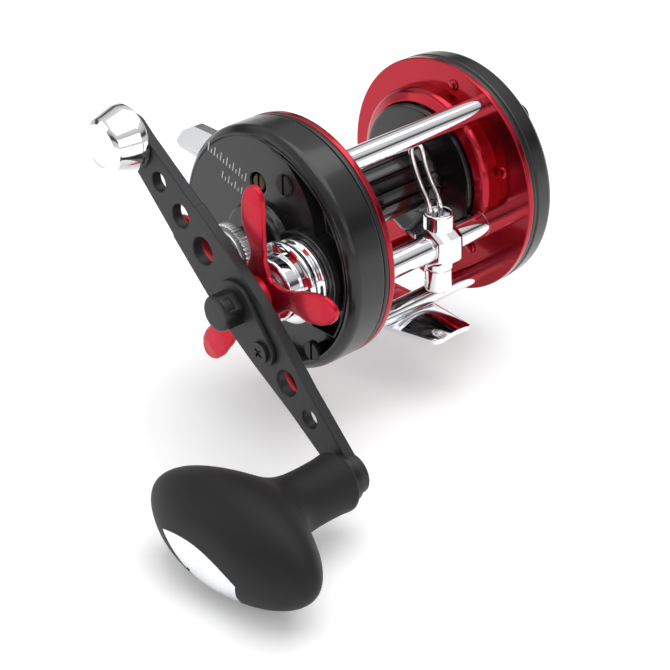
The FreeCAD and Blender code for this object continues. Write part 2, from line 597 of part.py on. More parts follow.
def gear_face(teeth, module, phase, thickness=0.42):
    """Flat gear outline with slightly slim teeth, so a pair runs with backlash."""
    pitch = teeth * module / 2
    base = pitch * math.cos(math.radians(20))
    root = pitch - 1.15 * module
    tip = pitch + 0.85 * module
    lean = math.tan(math.radians(20)) - math.radians(20)
    half = thickness * math.pi / teeth + lean
    points = []
    for tooth in range(teeth):
        middle = phase + 2 * math.pi * tooth / teeth
        radii = [max(base, root) + (tip - max(base, root)) * step / 4 for step in range(5)]
        flank = []
        for radius in radii:
            pressure = math.acos(min(1.0, base / radius))
            flank.append((radius, half - (math.tan(pressure) - pressure)))
        side = [(root, flank[0][1])] + flank
        points += [(radius, middle - angle) for radius, angle in side]
        points += [(radius, middle + angle) for radius, angle in reversed(side)]
    corners = [FreeCAD.Vector(0, r * math.cos(a), r * math.sin(a)) for r, a in points]
    return Part.Face(Part.makePolygon(corners + corners[:1]))


def gear(teeth, module, phase, left, right, bore, centre):
    shape = gear_face(teeth, module, phase).extrude(FreeCAD.Vector(right - left, 0, 0))
    hole = Part.makeCylinder(bore, right - left + 2, FreeCAD.Vector(-1, 0, 0), FreeCAD.Vector(1, 0, 0))
    shape = shape.cut(hole)
    shape.translate(FreeCAD.Vector(left, value(centre[0]), value(centre[1])))
    return shape


def spacing(first, second):
    """Distance and direction from one axis to another."""
    y = value(second[0]) - value(first[0])
    z = value(second[1]) - value(first[1])
    return math.hypot(y, z), math.atan2(z, y)


def gears():
    large = int(value("main_teeth"))
    small = int(value("pinion_teeth"))
    reach, aim = spacing(DRIVE, SPOOL)
    module = 2 * reach / (large + small)
    main = gear(large, module, aim, value("gear_left"), value("gear_right"), value("drive_radius"), DRIVE)
    for index in range(6):
        angle = math.radians(60 * index + 15)
        hole = Part.makeCylinder(1.7, 10, FreeCAD.Vector(20, value(DRIVE[0]) + 8.4 * math.cos(angle),
                                                        value(DRIVE[1]) + 8.4 * math.sin(angle)), FreeCAD.Vector(1, 0, 0))
        main = main.cut(hole.translated(FreeCAD.Vector(3, 0, 0)))
    keep("main_gear", shaped("main_gear", main))
    bore = value("shaft_radius") + 0.03
    teeth = gear(small, module, aim + math.pi + math.pi / small, value("pinion_left"),
                 value("pinion_right") - 1.8, bore, SPOOL)
    toothed = shaped("pinion_teeth_part", teeth)
    waist = ring("pinion_waist", "1.9", "shaft_radius + 0.03", "pinion_right - 1.8", "pinion_right - 0.6",
                 SPOOL)
    collar = ring("pinion_collar", "2.9", "shaft_radius + 0.03", "pinion_right - 0.6", "pinion_right + 0.2",
                  SPOOL)
    keep("pinion", join("pinion", toothed, waist, collar))
    drive_teeth = int(value("drive_cog_teeth"))
    worm_teeth = int(value("worm_cog_teeth"))
    reach, aim = spacing(DRIVE, WORM)
    module = 2 * reach / (drive_teeth + worm_teeth)
    left, right = value("cog_left"), value("cog_right")
    keep("level_wind_drive_cog", shaped("level_wind_drive_cog", gear(drive_teeth, module, aim, left, right,
                                                                     value("drive_radius"), DRIVE)))
    phase = aim + math.pi + math.pi / worm_teeth
    keep("worm_cog", shaped("worm_cog", gear(worm_teeth, module, phase, left, right,
                                             value("journal_radius"), WORM)))


def bridge_screw_places():
    return [shifted(SPOOL, str(round(19.3 * math.cos(math.radians(a)), 3)),
                    str(round(19.3 * math.sin(math.radians(a)), 3))) for a in (100, 215, 290)]


def bridge():
    """Steel plate over the mouth that carries the gear shaft."""
    disc = common("bridge_disc", rod("bridge_round", "bridge_radius", "bridge_x", "bridge_x + bridge_wall",
                                     SPOOL),
                  rod("bridge_limit", "plate_radius - shell_wall - 0.4", "20", "30", PLATE))
    keep("gear_bridge", cut("gear_bridge", disc,
                            rod("bridge_drive_hole", "drive_bore", "20", "30", DRIVE),
                            rod("bridge_pinion_hole", "3.2", "20", "30", SPOOL),
                            rod("bridge_worm_hole", "tube_radius + 0.05", "20", "30", WORM),
                            rod("bridge_pillar_hole", "screw_head + 0.3", "20", "30", TOP),
                            *[rod(f"bridge_screw_hole_{number}", "0.82", "20", "30", centre)
                              for number, centre in enumerate(bridge_screw_places())]))
    screws = [slotted_screw(f"bridge_screw_{number}", centre, "plate_inner - 1",
                            "(bridge_x + bridge_wall + 0.9)",
                            "1.5", "0.9", "0.8") for number, centre in enumerate(bridge_screw_places())]
    keep("bridge_screws", group("bridge_screws", *screws))


def drive_train():
    outline = [("plate_inner + 0.4", "0"), ("plate_inner + 0.4", "drive_radius"),
               ("arm_face + 0.2", "drive_radius"), ("arm_face + 0.2", "2.2"),
               ("nut_face - 1.4", "2.2"), ("nut_face - 1.4", "0")]
    keep("drive_shaft", turned("drive_shaft", outline, DRIVE))
    washers = [ring(f"drag_washer_{number}", "5.6", "drive_radius + 0.02",
                    f"gear_right + {0.05 + 0.55 * number}",
                    f"gear_right + {0.55 + 0.55 * number}", DRIVE) for number in range(3)]
    keep("drag_washers", group("drag_washers", *washers))
    keep("anti_reverse_bearing", ring("anti_reverse_bearing", "6.5", "4.05", "31.4", "38.4", DRIVE))
    keep("drag_pressure_sleeve", ring("drag_pressure_sleeve", "4.0", "drive_radius + 0.02",
                                      "gear_right + 1.75", "46.9", DRIVE))
    sleeve = [("gear_boss_face", "0"), ("gear_boss_face", "sleeve_flange"), ("gear_boss_face + 1.4",
                                                                             "sleeve_flange"),
              ("gear_boss_face + 1.8", "sleeve_flange - 0.5"), ("gear_boss_face + 2.3", "sleeve_neck"),
              ("gear_boss_face + 3.6", "sleeve_neck"), ("gear_boss_face + 4.0", "sleeve_ring"),
              ("gear_boss_face + 5.2", "sleeve_ring"), ("gear_boss_face + 5.7", "sleeve_body"),
              ("sleeve_end - 0.5", "sleeve_body"), ("sleeve_end", "sleeve_body - 0.5"), ("sleeve_end", "0")]
    spigot = rod("sleeve_spigot", "6.88", "31.2", "gear_boss_face + 1", DRIVE)
    blank = join("sleeve_blank", turned("sleeve_turned", sleeve, DRIVE), spigot)
    keep("bearing_sleeve", cut("bearing_sleeve", blank, rod("sleeve_room", "6.52", "30", "38.45", DRIVE),
                               rod("sleeve_bore", "4.3", "30", "60", DRIVE)))
    keep("star_spring_washers", group("star_spring_washers",
                                      ring("star_washer_0", "4.6", "drive_radius + 0.02", "46.95", "47.5",
                                           DRIVE),
                                      ring("star_washer_1", "4.6", "drive_radius + 0.02", "47.55", "48.1",
                                           DRIVE)))


def star_drag():
    """Five paddles on a dished hub; each paddle rises towards the handle and turns at its tip."""
    face = value("star_face")
    wall = value("star_wall")
    reach = value("star_reach")
    rise = value("star_rise")
    hub = value("star_hub")
    side = [(hub - 1.5, 2.6), (hub + 4, 2.1), (hub + 8.5, 3.1), (reach - 6, 3.75), (reach - 2.2, 3.1)]
    paddles = []
    for number in range(5):
        angle = 87 - 72 * number
        outline = [FreeCAD.Vector(0, radius, half) for radius, half in side]
        outline += [FreeCAD.Vector(0, reach, 0)]
        outline += [FreeCAD.Vector(0, radius, -half) for radius, half in reversed(side)]
        curve = Part.BSplineCurve()
        curve.interpolate(outline)
        base = Part.LineSegment(outline[-1], outline[0]).toShape()
        plan = Part.Face(Part.Wire([curve.toShape(), base])).extrude(FreeCAD.Vector(20, 0, 0))
        strip = [(hub - 2, 0), (hub + 3, 0), (reach - 8, rise), (reach + 1, rise)]
        lower = [FreeCAD.Vector(10 + x - wall / 2, y, -8) for y, x in strip]
        upper = [FreeCAD.Vector(10 + x + wall / 2, y, -8) for y, x in reversed(strip)]
        ribbon = Part.Face(Part.makePolygon(lower + upper + lower[:1])).extrude(FreeCAD.Vector(0, 0, 16))
        paddle = plan.common(ribbon)
        paddle.translate(FreeCAD.Vector(-10, 0, 0))
        paddle.rotate(FreeCAD.Vector(0, 0, 0), FreeCAD.Vector(1, 0, 0), angle)
        paddles.append(paddle)
    disc = Part.makeCylinder(hub + 0.6, wall, FreeCAD.Vector(-wall / 2, 0, 0), FreeCAD.Vector(1, 0, 0))
    boss = Part.makeCylinder(hub - 1.4, wall + 1.6, FreeCAD.Vector(-wall / 2, 0, 0), FreeCAD.Vector(1, 0, 0))
    star = disc.fuse(paddles + [boss]).removeSplitter()
    star = star.cut(Part.makeCylinder(value("drive_radius") + 0.02, 20, FreeCAD.Vector(-10, 0, 0),
                                      FreeCAD.Vector(1, 0, 0)))
    star.translate(FreeCAD.Vector(face, value(DRIVE[0]), value(DRIVE[1])))
    keep("star_drag", shaped("star_drag", star))


# --- tension cap, clutch and lever ----------------------------------------------------

def tension_cap():
    outline = [("knurl_left", "neck_radius + 0.05"), ("knurl_left", "knurl_radius - 0.4"),
               ("knurl_left + 0.4", "knurl_radius"), ("knurl_right - 0.2", "knurl_radius"),
               ("knurl_right", "knurl_radius - 0.9"), ("knurl_right + 0.4", "knurl_radius - 0.9"),
               ("knurl_right + 0.5", "cap_rim"), ("cap_face - 0.3", "cap_rim"), ("cap_face", "cap_rim - 0.4"),
               ("cap_face", "0"), ("neck_end + 0.3", "0"), ("neck_end + 0.3", "neck_radius + 0.05")]
    blank = turned("cap_blank", outline, SPOOL)
    tool = block("knurl_cut", ("knurl_left - 1", "knurl_right - 0.5"), ("0 - 0.3", "0.3"),
                 ("knurl_radius - 0.3", "knurl_radius + 1"))
    tools = []
    for index in range(36):
        turn = FreeCAD.Rotation(FreeCAD.Vector(1, 0, 0), 10.0 * index)
        link = doc.addObject("App::Link", f"knurl_{index}")
        link.LinkedObject = tool
        seat = FreeCAD.Placement(FreeCAD.Vector(0, value(SPOOL[0]), value(SPOOL[1])), turn)
        link.Placement = seat.multiply(tool.Placement)
        tools.append(link)
    keep("tension_cap", cut("tension_cap", blank, *tools))
    keep("tension_shims", rod("tension_shims", "2.4", "neck_end - 1.4", "neck_end + 0.2", SPOOL))


def clutch():
    plate = block("yoke_plate", ("pinion_right - 1.7", "pinion_right - 0.7"), ("spool_y - 13",
                                                                               "spool_y + 2.6"),
                  (f"{SPOOL[1]} - 3.1", f"{SPOOL[1]} + 3.1"))
    slot = block("yoke_slot", ("20", "40"), ("spool_y", "spool_y + 6"), (f"{SPOOL[1]} - 2.0",
                                                                         f"{SPOOL[1]} + 2.0"))
    throat = rod("yoke_throat", "2.0", "20", "40", SPOOL)
    guides = [rod(f"yoke_guide_{number}", "0.85", "20", "40", shifted(SPOOL, "0 - " + str(y), "0"))
              for number, y in enumerate((5.6, 10.8))]
    keep("clutch_yoke", cut("clutch_yoke", plate, slot, throat, *guides))
    pins = [rod(f"yoke_pin_{number}", "0.8", "bridge_x + bridge_wall", "cover_face - shell_wall",
                shifted(SPOOL, "0 - " + str(y), "0")) for number, y in enumerate((5.6, 10.8))]
    keep("yoke_guide_pins", group("yoke_guide_pins", *pins))


def prism(corners, depth, along):
    """Flat outline, given as points of space, pushed along one axis."""
    points = [FreeCAD.Vector(*corner) for corner in corners]
    return Part.Face(Part.makePolygon(points + points[:1])).extrude(along * depth)


def free_spool_lever():
    """Wedge behind the handle-side cover; its leg comes down inside to the clutch yoke."""
    centre = value("axle_height")
    left, right = value("lever_left"), value("lever_right")
    low, high = centre + value("lever_low"), centre + value("lever_high")
    side = [(-23.5, high), (-32.0, high), (-35.0, high - 1.7), (-35.6, high - 4.1), (-34.3, low + 0.7),
            (-27.5, low), (-21.5, low), (-21.5, low + 2.6), (-23.5, low + 3.0)]
    lever = prism([(left, y, z) for y, z in side], right - left, FreeCAD.Vector(1, 0, 0))
    tip = centre + value("lever_tip_low")
    slope = [(right + 0.6, tip), (value("lever_slope_x"), high + 0.3), (right + 0.6, high + 0.3)]
    outer = prism([(x, -40.0, z) for x, z in slope], 12.0, FreeCAD.Vector(0, 1, 0))
    bottom = centre + value("leg_low")
    leg = Part.makeBox(value("leg_wall"), 9.6, low + 2.6 - bottom,
                       FreeCAD.Vector(value("leg_left"), -23.4, bottom))
    keep("free_spool_lever", shaped("free_spool_lever", lever.cut(outer).fuse(leg).removeSplitter()))


# --- handle ------------------------------------------------------------------------------

def aim_arm(obj_shape):
    """Turn a shape drawn along the arm (+Y towards the knob) to the arm's own angle."""
    obj_shape.rotate(FreeCAD.Vector(0, 0, 0), FreeCAD.Vector(1, 0, 0), value("arm_tilt"))
    obj_shape.translate(FreeCAD.Vector(0, value(DRIVE[0]), value(DRIVE[1])))
    return obj_shape


def along_arm(distance):
    """Axis at a distance along the arm, towards the knob where positive."""
    return (f"drive_y + ({distance}) * cos(arm_tilt * 1 deg)",
            f"{DRIVE[1]} + ({distance}) * sin(arm_tilt * 1 deg)")


def handle_arm():
    inner = value("arm_face") - value("arm_wall")
    wall = value("arm_wall")
    hub = value("arm_hub_half")
    weight = value("arm_weight")
    knob = value("arm_knob")
    near = value("arm_knob_half")
    far = value("arm_weight_half")
    upper = [(knob, near), (26, 5.2), (12, 7.2), (4, hub), (-4, hub), (-22.6, 6.9), (-22.9, 6.5),
             (-weight + 4, 5.0), (-weight, far)]
    points = [FreeCAD.Vector(inner, u, v) for u, v in upper]
    points += [FreeCAD.Vector(inner, u, -v) for u, v in reversed(upper)]
    arm = Part.Face(Part.makePolygon(points + points[:1])).extrude(FreeCAD.Vector(wall, 0, 0))
    ends = [(knob, value("knob_boss")), (-weight, far + 0.6)]
    for at, radius in ends:
        arm = arm.fuse(Part.makeCylinder(radius, wall, FreeCAD.Vector(inner, at, 0), FreeCAD.Vector(1, 0, 0)))
    holes = [(0, 2.52), (knob, 1.62), (-weight, 1.62), (12, 1.02), (20.9, 3.1), (30.4, 2.25), (-14.5, 3.35),
             (-24.0, 2.85), (-33.4, 2.35)]
    for at, radius in holes:
        arm = arm.cut(Part.makeCylinder(radius, wall + 2, FreeCAD.Vector(inner - 1, at, 0),
                                        FreeCAD.Vector(1, 0, 0)))
    keep("handle_arm", shaped("handle_arm", aim_arm(arm.removeSplitter())))


def nut_and_lock():
    face = value("arm_face")
    wall = value("lock_wall")
    nut_end = value("nut_face")
    across = value("nut_across")
    at = value("lock_screw_at")
    plate = Part.makeCylinder(3.7, wall, FreeCAD.Vector(face, at, 0), FreeCAD.Vector(1, 0, 0))
    plate = plate.fuse(Part.makeCylinder(6.2, wall, FreeCAD.Vector(face, 0, 0), FreeCAD.Vector(1, 0, 0)))
    sides = [FreeCAD.Vector(face, u, v) for u, v in ((0, 6.2), (at + 1, 3.6), (at + 1, -3.6), (0, -6.2))]
    plate = plate.fuse(Part.Face(Part.makePolygon(sides + sides[:1])).extrude(FreeCAD.Vector(wall, 0, 0)))
    flats = [FreeCAD.Vector(face - 1,
                            (across + 0.05) / math.cos(math.pi / 6) * math.cos(math.radians(60 * k)),
                            (across + 0.05) / math.cos(math.pi / 6) * math.sin(math.radians(60 * k))) for k in range(6)]
    plate = plate.cut(Part.Face(Part.makePolygon(flats + flats[:1])).extrude(FreeCAD.Vector(10, 0, 0)))
    plate = plate.cut(Part.makeCylinder(1.02, 10, FreeCAD.Vector(face - 1, at, 0), FreeCAD.Vector(1, 0, 0)))
    keep("nut_lock_plate", shaped("nut_lock_plate", aim_arm(plate.removeSplitter())))
    flats = [FreeCAD.Vector(face, across / math.cos(math.pi / 6) * math.cos(math.radians(60 * k)),
                            across / math.cos(math.pi / 6) * math.sin(math.radians(60 * k))) for k in range(6)]
    nut = Part.Face(Part.makePolygon(flats + flats[:1])).extrude(FreeCAD.Vector(nut_end - face - 1.2, 0, 0))
    nut = nut.fuse(Part.makeCylinder(across + 0.35, 1.2, FreeCAD.Vector(nut_end - 1.2, 0, 0),
                                     FreeCAD.Vector(1, 0, 0)))
    nut = nut.cut(Part.makeCylinder(2.22, nut_end - face - 1.2, FreeCAD.Vector(face, 0, 0),
                                    FreeCAD.Vector(1, 0, 0)))
    nut = nut.cut(Part.makeCylinder(2.52, 0.3, FreeCAD.Vector(face, 0, 0), FreeCAD.Vector(1, 0, 0)))
    keep("handle_nut", shaped("handle_nut", aim_arm(nut)))
    head = Part.makeCylinder(2.5, 0.9, FreeCAD.Vector(face + wall, at, 0), FreeCAD.Vector(1, 0, 0))
    head = head.fuse(Part.makeCylinder(1.0, wall
                                       + 2.5, FreeCAD.Vector(face - 2.5, at, 0), FreeCAD.Vector(1, 0, 0)))
    for size in ((2.6, 0.6), (0.6, 2.6)):
        head = head.cut(Part.makeBox(1, size[0], size[1], FreeCAD.Vector(face + wall + 0.35,
                                                                         at - size[0] / 2, -size[1] / 2)))
    keep("nut_lock_screw", shaped("nut_lock_screw", aim_arm(head)))


def counterweight():
    centre = along_arm("0 - arm_weight")
    outline = [("arm_face", "0"), ("arm_face", "weight_base - 0.4"), ("arm_face + 0.5", "weight_base"),
               ("arm_face + 1.6", "weight_base"), ("arm_face + weight_height - 0.6", "weight_tip + 0.3"),
               ("arm_face + weight_height", "weight_tip - 0.4"), ("arm_face + weight_height", "0")]
    keep("counterweight", cut("counterweight", turned("weight_turned", outline, centre),
                              rod("weight_hole", "1.6", "arm_face - 1", "arm_face + 5.2", centre)))
    outline = [("arm_face - arm_wall - 1.1", "0"), ("arm_face - arm_wall - 1.1", "2.2"),
               ("arm_face - arm_wall - 0.8", "2.6"),
               ("arm_face - arm_wall", "2.6"), ("arm_face - arm_wall", "1.6"), ("arm_face + 5.0", "1.6"),
               ("arm_face + 5.0", "0")]
    keep("counterweight_screw", turned("counterweight_screw", outline, centre))


def knob_egg(shrink=0.0):
    """Egg lying across the neck, its outer end flattened to a low crown."""
    squash = FreeCAD.Matrix()
    squash.scale(value("knob_deep") - shrink, value("knob_long") - shrink, value("knob_short") - shrink)
    egg = Part.makeSphere(1.0).transformGeometry(squash)
    egg.rotate(FreeCAD.Vector(0, 0, 0), FreeCAD.Vector(1, 0, 0), value("knob_tilt"))
    egg.translate(FreeCAD.Vector(value("knob_middle"), 0, 0))
    crown = value("knob_crown")
    limit = Part.makeSphere(crown - shrink)
    limit.translate(FreeCAD.Vector(value("knob_end") - crown, 0, 0))
    return egg.common(limit)


def badge_prism():
    """Pointed oval, as the overlap of two discs, cut square at one end and standing through the knob."""
    reach, rise = value("badge_radius"), value("badge_radius") - value("badge_half")
    discs = [Part.makeCylinder(reach, 30, FreeCAD.Vector(value("knob_middle"), 0, sign * rise),
                               FreeCAD.Vector(1, 0, 0))
             for sign in (-1, 1)]
    oval = discs[0].common(discs[1])
    square = Part.makeBox(60, 60, 60, FreeCAD.Vector(value("knob_middle") - 10, value("badge_cut"), -30))
    oval = oval.cut(square)
    oval.rotate(FreeCAD.Vector(0, 0, 0), FreeCAD.Vector(1, 0, 0), value("badge_tilt"))
    oval.translate(FreeCAD.Vector(0, value("badge_y"), value("badge_up")))
    return oval


def knob():
    """Soft knob on its spindle, with two bushes and a badge let into its end."""
    centre = along_arm("arm_knob")
    y, z = value(centre[0]), value(centre[1])
    start = value("arm_face") + 2.0
    middle = value("knob_middle")
    neck = value("knob_neck")
    profile = [(start, 0), (start, neck + 0.3), (start + 3, neck), (start + 12, neck
                                                                    + 0.1), (start + 17, neck + 1.7),
               (start + 21, neck + 5.2), (middle - 2, neck + 6.0), (middle - 2, 0)]
    wire = Part.makePolygon([FreeCAD.Vector(x, r, 0) for x, r in profile + profile[:1]])
    stem = Part.Face(wire).revolve(FreeCAD.Vector(0, 0, 0), FreeCAD.Vector(1, 0, 0), 360)
    body = stem.fuse(knob_egg())
    spindle = value("spindle_radius")
    body = body.cut(Part.makeCylinder(spindle
                                      + 0.65, 24, FreeCAD.Vector(start - 1, 0, 0), FreeCAD.Vector(1, 0, 0)))
    badge = badge_prism().common(knob_egg()).cut(knob_egg(value("badge_wall")))
    body = body.cut(badge)
    for shape in (body, badge):
        shape.translate(FreeCAD.Vector(0, y, z))
    keep("handle_knob", shaped("handle_knob", body))
    keep("knob_badge", shaped("knob_badge", badge))
    inner = value("arm_face") - value("arm_wall")
    face = value("arm_face")
    rods = [(1.6, inner - 0.2, face + 0.8), (2.6, inner - 1.0, inner), (5.6, face, face + 1.6),
            (spindle, face + 0.5, face + 23)]
    parts = [Part.makeCylinder(radius, right - left, FreeCAD.Vector(left, y, z), FreeCAD.Vector(1, 0, 0))
             for radius, left, right in rods]
    keep("knob_spindle", shaped("knob_spindle", parts[0].fuse(parts[1:]).removeSplitter()))
    bushes = [ring(f"knob_bush_{number}", "spindle_radius + 0.62", "spindle_radius + 0.03",
                   f"arm_face + {at}",
                   f"arm_face + {at + 4}", centre) for number, at in enumerate((3, 18))]
    keep("knob_bushes", group("knob_bushes", *bushes))


def handle():
    handle_arm()
    nut_and_lock()
    counterweight()
    knob()


# --- build, check and write ----------------------------------------------------------------

def build():
    frame()
    covers()
    level_wind()
    spool()
    brakes()
    bridge()
    gears()
    drive_train()
    star_drag()
    tension_cap()
    clutch()
    free_spool_lever()
    handle()
    doc.recompute()


def check():
    for obj in doc.Objects:
        bad = [state for state in obj.State if state in ("Invalid", "Error")]
        if bad:
            raise RuntimeError(f"{obj.Name} ({obj.Label}): {bad}")
    for obj in kept:
        shape = obj.Shape
        if shape.isNull() or not shape.isValid() or not shape.Solids or shape.Volume <= 0:
            raise RuntimeError(f"{obj.Label} has a bad shape")


def write():
    os.makedirs("parts", exist_ok=True)
    for obj in kept:
        obj.Shape.exportStep(os.path.join("parts", obj.Label + ".step"))
        box = obj.Shape.BoundBox
        print(f"{obj.Label:26s} solids {len(obj.Shape.Solids)}  volume {obj.Shape.Volume:9.1f}"
              f"  x {box.XMin:6.1f} {box.XMax:6.1f}  y {box.YMin:6.1f} {box.YMax:6.1f}  z {box.ZMin:6.1f} {box.ZMax:6.1f}")


build()
check()
write()
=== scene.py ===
import json
import math

import bmesh
import bpy
from bpy.props import FloatProperty, FloatVectorProperty, IntProperty, PointerProperty
from mathutils import Matrix, Vector


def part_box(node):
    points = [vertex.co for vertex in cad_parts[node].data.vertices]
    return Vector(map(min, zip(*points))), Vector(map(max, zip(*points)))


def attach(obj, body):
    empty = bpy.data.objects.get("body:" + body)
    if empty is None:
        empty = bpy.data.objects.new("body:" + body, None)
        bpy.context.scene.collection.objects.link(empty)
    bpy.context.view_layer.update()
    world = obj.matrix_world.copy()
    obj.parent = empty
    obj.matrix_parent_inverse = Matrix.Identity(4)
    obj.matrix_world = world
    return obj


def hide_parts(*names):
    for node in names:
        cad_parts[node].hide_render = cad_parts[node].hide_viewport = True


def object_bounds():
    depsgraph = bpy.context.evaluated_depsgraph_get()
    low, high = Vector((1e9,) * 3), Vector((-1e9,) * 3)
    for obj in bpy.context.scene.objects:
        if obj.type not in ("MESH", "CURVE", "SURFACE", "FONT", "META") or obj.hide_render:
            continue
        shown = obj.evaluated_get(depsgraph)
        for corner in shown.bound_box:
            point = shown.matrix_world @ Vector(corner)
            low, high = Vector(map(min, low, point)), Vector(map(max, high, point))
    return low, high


bl_info = {
    "name": "Baitcasting Reel Finishes",
    "version": (1, 0, 0),
    "blender": (4, 5, 0),
    "location": "View3D > Sidebar > Reel",
    "description": "Builds the visible pieces of a round baitcasting reel on its packed frame",
    "category": "Object",
}

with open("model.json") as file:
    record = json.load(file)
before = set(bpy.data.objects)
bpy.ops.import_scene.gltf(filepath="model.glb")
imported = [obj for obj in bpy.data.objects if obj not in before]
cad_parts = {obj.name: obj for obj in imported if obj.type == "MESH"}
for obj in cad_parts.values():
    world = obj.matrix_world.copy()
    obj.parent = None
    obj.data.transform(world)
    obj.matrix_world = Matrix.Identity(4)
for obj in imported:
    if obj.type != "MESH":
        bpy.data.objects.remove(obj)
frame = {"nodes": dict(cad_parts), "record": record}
CAD_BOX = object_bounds()
MM = 0.001


# --- places taken from the frame, in millimetres --------------------------------------------

def low(node):
    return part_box(node)[0] / MM


def high(node):
    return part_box(node)[1] / MM


def middle(node):
    return (low(node) + high(node)) / 2


PLATE = middle("handle_side_trim_ring").yz
SPOOL = middle("spool").yz
DRIVE = middle("drive_shaft").yz
WORM = middle("level_wind_tube").yz
KNOB = middle("knob_spindle").yz
WEIGHT = middle("counterweight").yz
ALONG = (KNOB - DRIVE).normalized()
ACROSS = Vector((-ALONG.y, ALONG.x))
FACE_X = high("handle_arm").x
RADIUS = (high("handle_side_trim_ring").z - low("handle_side_trim_ring").z) / 2


# --- sizes and colours a user may change -----------------------------------------------------

def colour(name, words, value):
    return FloatVectorProperty(name=name, description=words, subtype="COLOR", size=4, min=0, max=1,
                               default=(*value, 1))


class ReelFinish(bpy.types.PropertyGroup):
    """Colours and gloss of the reel's finishes."""
    red: colour("Anodised red", "Side plates", (0.40, 0.004, 0.018))
    star: colour("Star red", "Star drag wheel", (0.56, 0.008, 0.03))
    cover: colour("Cover black", "Satin paint on the two covers", (0.010, 0.010, 0.011))
    arm: colour("Arm charcoal", "Anodised handle arm", (0.022, 0.022, 0.024))
    knob: colour("Knob black", "Soft coating on the knob", (0.012, 0.012, 0.013))
    spool: colour("Spool black", "Glossy anodised spool", (0.012, 0.012, 0.013))
    chrome: colour("Chrome", "Plated pillars, foot and line guide", (0.88, 0.88, 0.90))
    polish: FloatProperty(name="Chrome roughness", description="Blur of the plated surfaces", default=0.06,
                          min=0, max=1, subtype="FACTOR")


class ReelShape(bpy.types.PropertyGroup):
    """Fine sizes of the visible pieces."""
    edge: FloatProperty(name="Edge round", description="Rounding of machined edges", default=0.35 * MM,
                        min=0, unit="LENGTH")
    wire: FloatProperty(name="Wire radius", description="Radius of the line guide's wire", default=0.62 * MM,
                        min=0, unit="LENGTH")
    knurl: FloatProperty(name="Knurl depth", description="Depth of the tension cap's grooves",
                         default=0.35 * MM,
                         min=0, unit="LENGTH")
    knurls: IntProperty(name="Knurls", description="Grooves round the tension cap", default=44, min=8)
    ribs: IntProperty(name="Spool grooves", description="Grooves round the spool's arbor", default=14, min=0)
    ridge: FloatProperty(name="Paddle ridge", description="Height of the crease along each star paddle",
                         default=0.25 * MM, min=0, unit="LENGTH")


def finish_values():
    return bpy.context.scene.reel_finish


def shape_values():
    return bpy.context.scene.reel_shape


# --- shader maths ----------------------------------------------------------------------------

class Sock:
    """A node's output that can be used in Python arithmetic."""

    def __init__(self, finish, socket):
        self.finish = finish
        self.socket = socket

    def _math(self, operation, *values):
        return self.finish.node("ShaderNodeMath", {"operation": operation}, *values)[0]

    def __add__(self, other):
        return self._math("ADD", self, other)

    __radd__ = __add__

    def __mul__(self, other):
        return self._math("MULTIPLY", self, other)

    __rmul__ = __mul__

    def __sub__(self, other):
        return self._math("SUBTRACT", self, other)

    def __rsub__(self, other):
        return self._math("SUBTRACT", other, self)

    def blend(self, first, second):
        """Colour between two, by this value."""
        mixed = self.finish.node("ShaderNodeMix", {"data_type": "RGBA"}, Factor=self, A_Color=first,
                                 B_Color=second)
        return Sock(self.finish, mixed.raw.outputs["Result_Color"] if "Result_Color" in mixed.raw.outputs
                    else [o for o in mixed.raw.outputs if o.type == "RGBA"][0])


class Made:
    """A made node; its outputs are read by number or name."""

    def __init__(self, finish, raw):
        self.finish = finish
        self.raw = raw

    def __getitem__(self, key):
        return Sock(self.finish, self.raw.outputs[key])


class Finish:
    """One material and its nodes."""

    def __init__(self, name):
        self.material = bpy.data.materials.new(name)
        self.material.use_nodes = True
        self.tree = self.material.node_tree
        self.shader = self.tree.nodes["Principled BSDF"]

    def node(self, kind, settings, *ordered, **named):
        raw = self.tree.nodes.new(kind)
        for key, value in settings.items():
            setattr(raw, key, value)
        for index, value in enumerate(ordered):
            self.feed(raw.inputs[index], value)
        for key, value in named.items():
            self.feed(self.find(raw, key), value)
        return Made(self, raw)

    def find(self, raw, key):
        identifier = key in [item.identifier for item in raw.inputs]
        return [item for item in raw.inputs if (item.identifier if identifier else item.name) == key][0]

    def feed(self, socket, value):
        if isinstance(value, Sock):
            self.tree.links.new(value.socket, socket)
        else:
            socket.default_value = value

    def set(self, **values):
        for key, value in values.items():
            self.feed(self.shader.inputs[key.replace("_", " ")], value)

    def place(self):
        return self.node("ShaderNodeTexCoord", {})["Object"]

    def stretched(self, x, y, z):
        return self.node("ShaderNodeMapping", {}, Vector=self.place(), Scale=(x, y, z))[0]

    def noise(self, where, scale, detail=3.0, roughness=0.5):
        return self.node("ShaderNodeTexNoise", {}, Vector=where, Scale=scale, Detail=detail,
                         Roughness=roughness)[0]

    def bump(self, height, strength, distance):
        self.set(Normal=self.node("ShaderNodeBump", {}, Height=height, Strength=strength,
                                  Distance=distance)["Normal"])


def tint(value, factor):
    return tuple(min(1.0, channel * factor) for channel in tuple(value)[:3]) + (1.0,)


made_finishes = {}


def kept_finish(maker):
    """Each finish is made once."""
    def get():
        if maker.__name__ not in made_finishes:
            made_finishes[maker.__name__] = maker().material
        return made_finishes[maker.__name__]
    return get


def metal(name, base, roughness, spread, grain=900.0, strength=0.04, metallic=1.0, turned=False, coat=0.0):
    """Metal whose gloss and tone drift a little; turned metal has fine rings round X."""
    finish = Finish(name)
    where = finish.place()
    drift = finish.noise(where, 60.0, 4.0)
    fine = finish.noise(finish.stretched(1.0, 0.12, 0.12) if turned else where,
                        grain * (3.0 if turned else 1.0), 3.0)
    finish.set(Base_Color=drift.blend(tint(base, 0.9), tint(base, 1.08)), Metallic=metallic,
               Roughness=roughness + spread * (drift * 0.6 + fine * 0.4), Coat_Weight=coat,
               Coat_Roughness=0.08)
    finish.bump(fine, strength, 0.00004)
    return finish


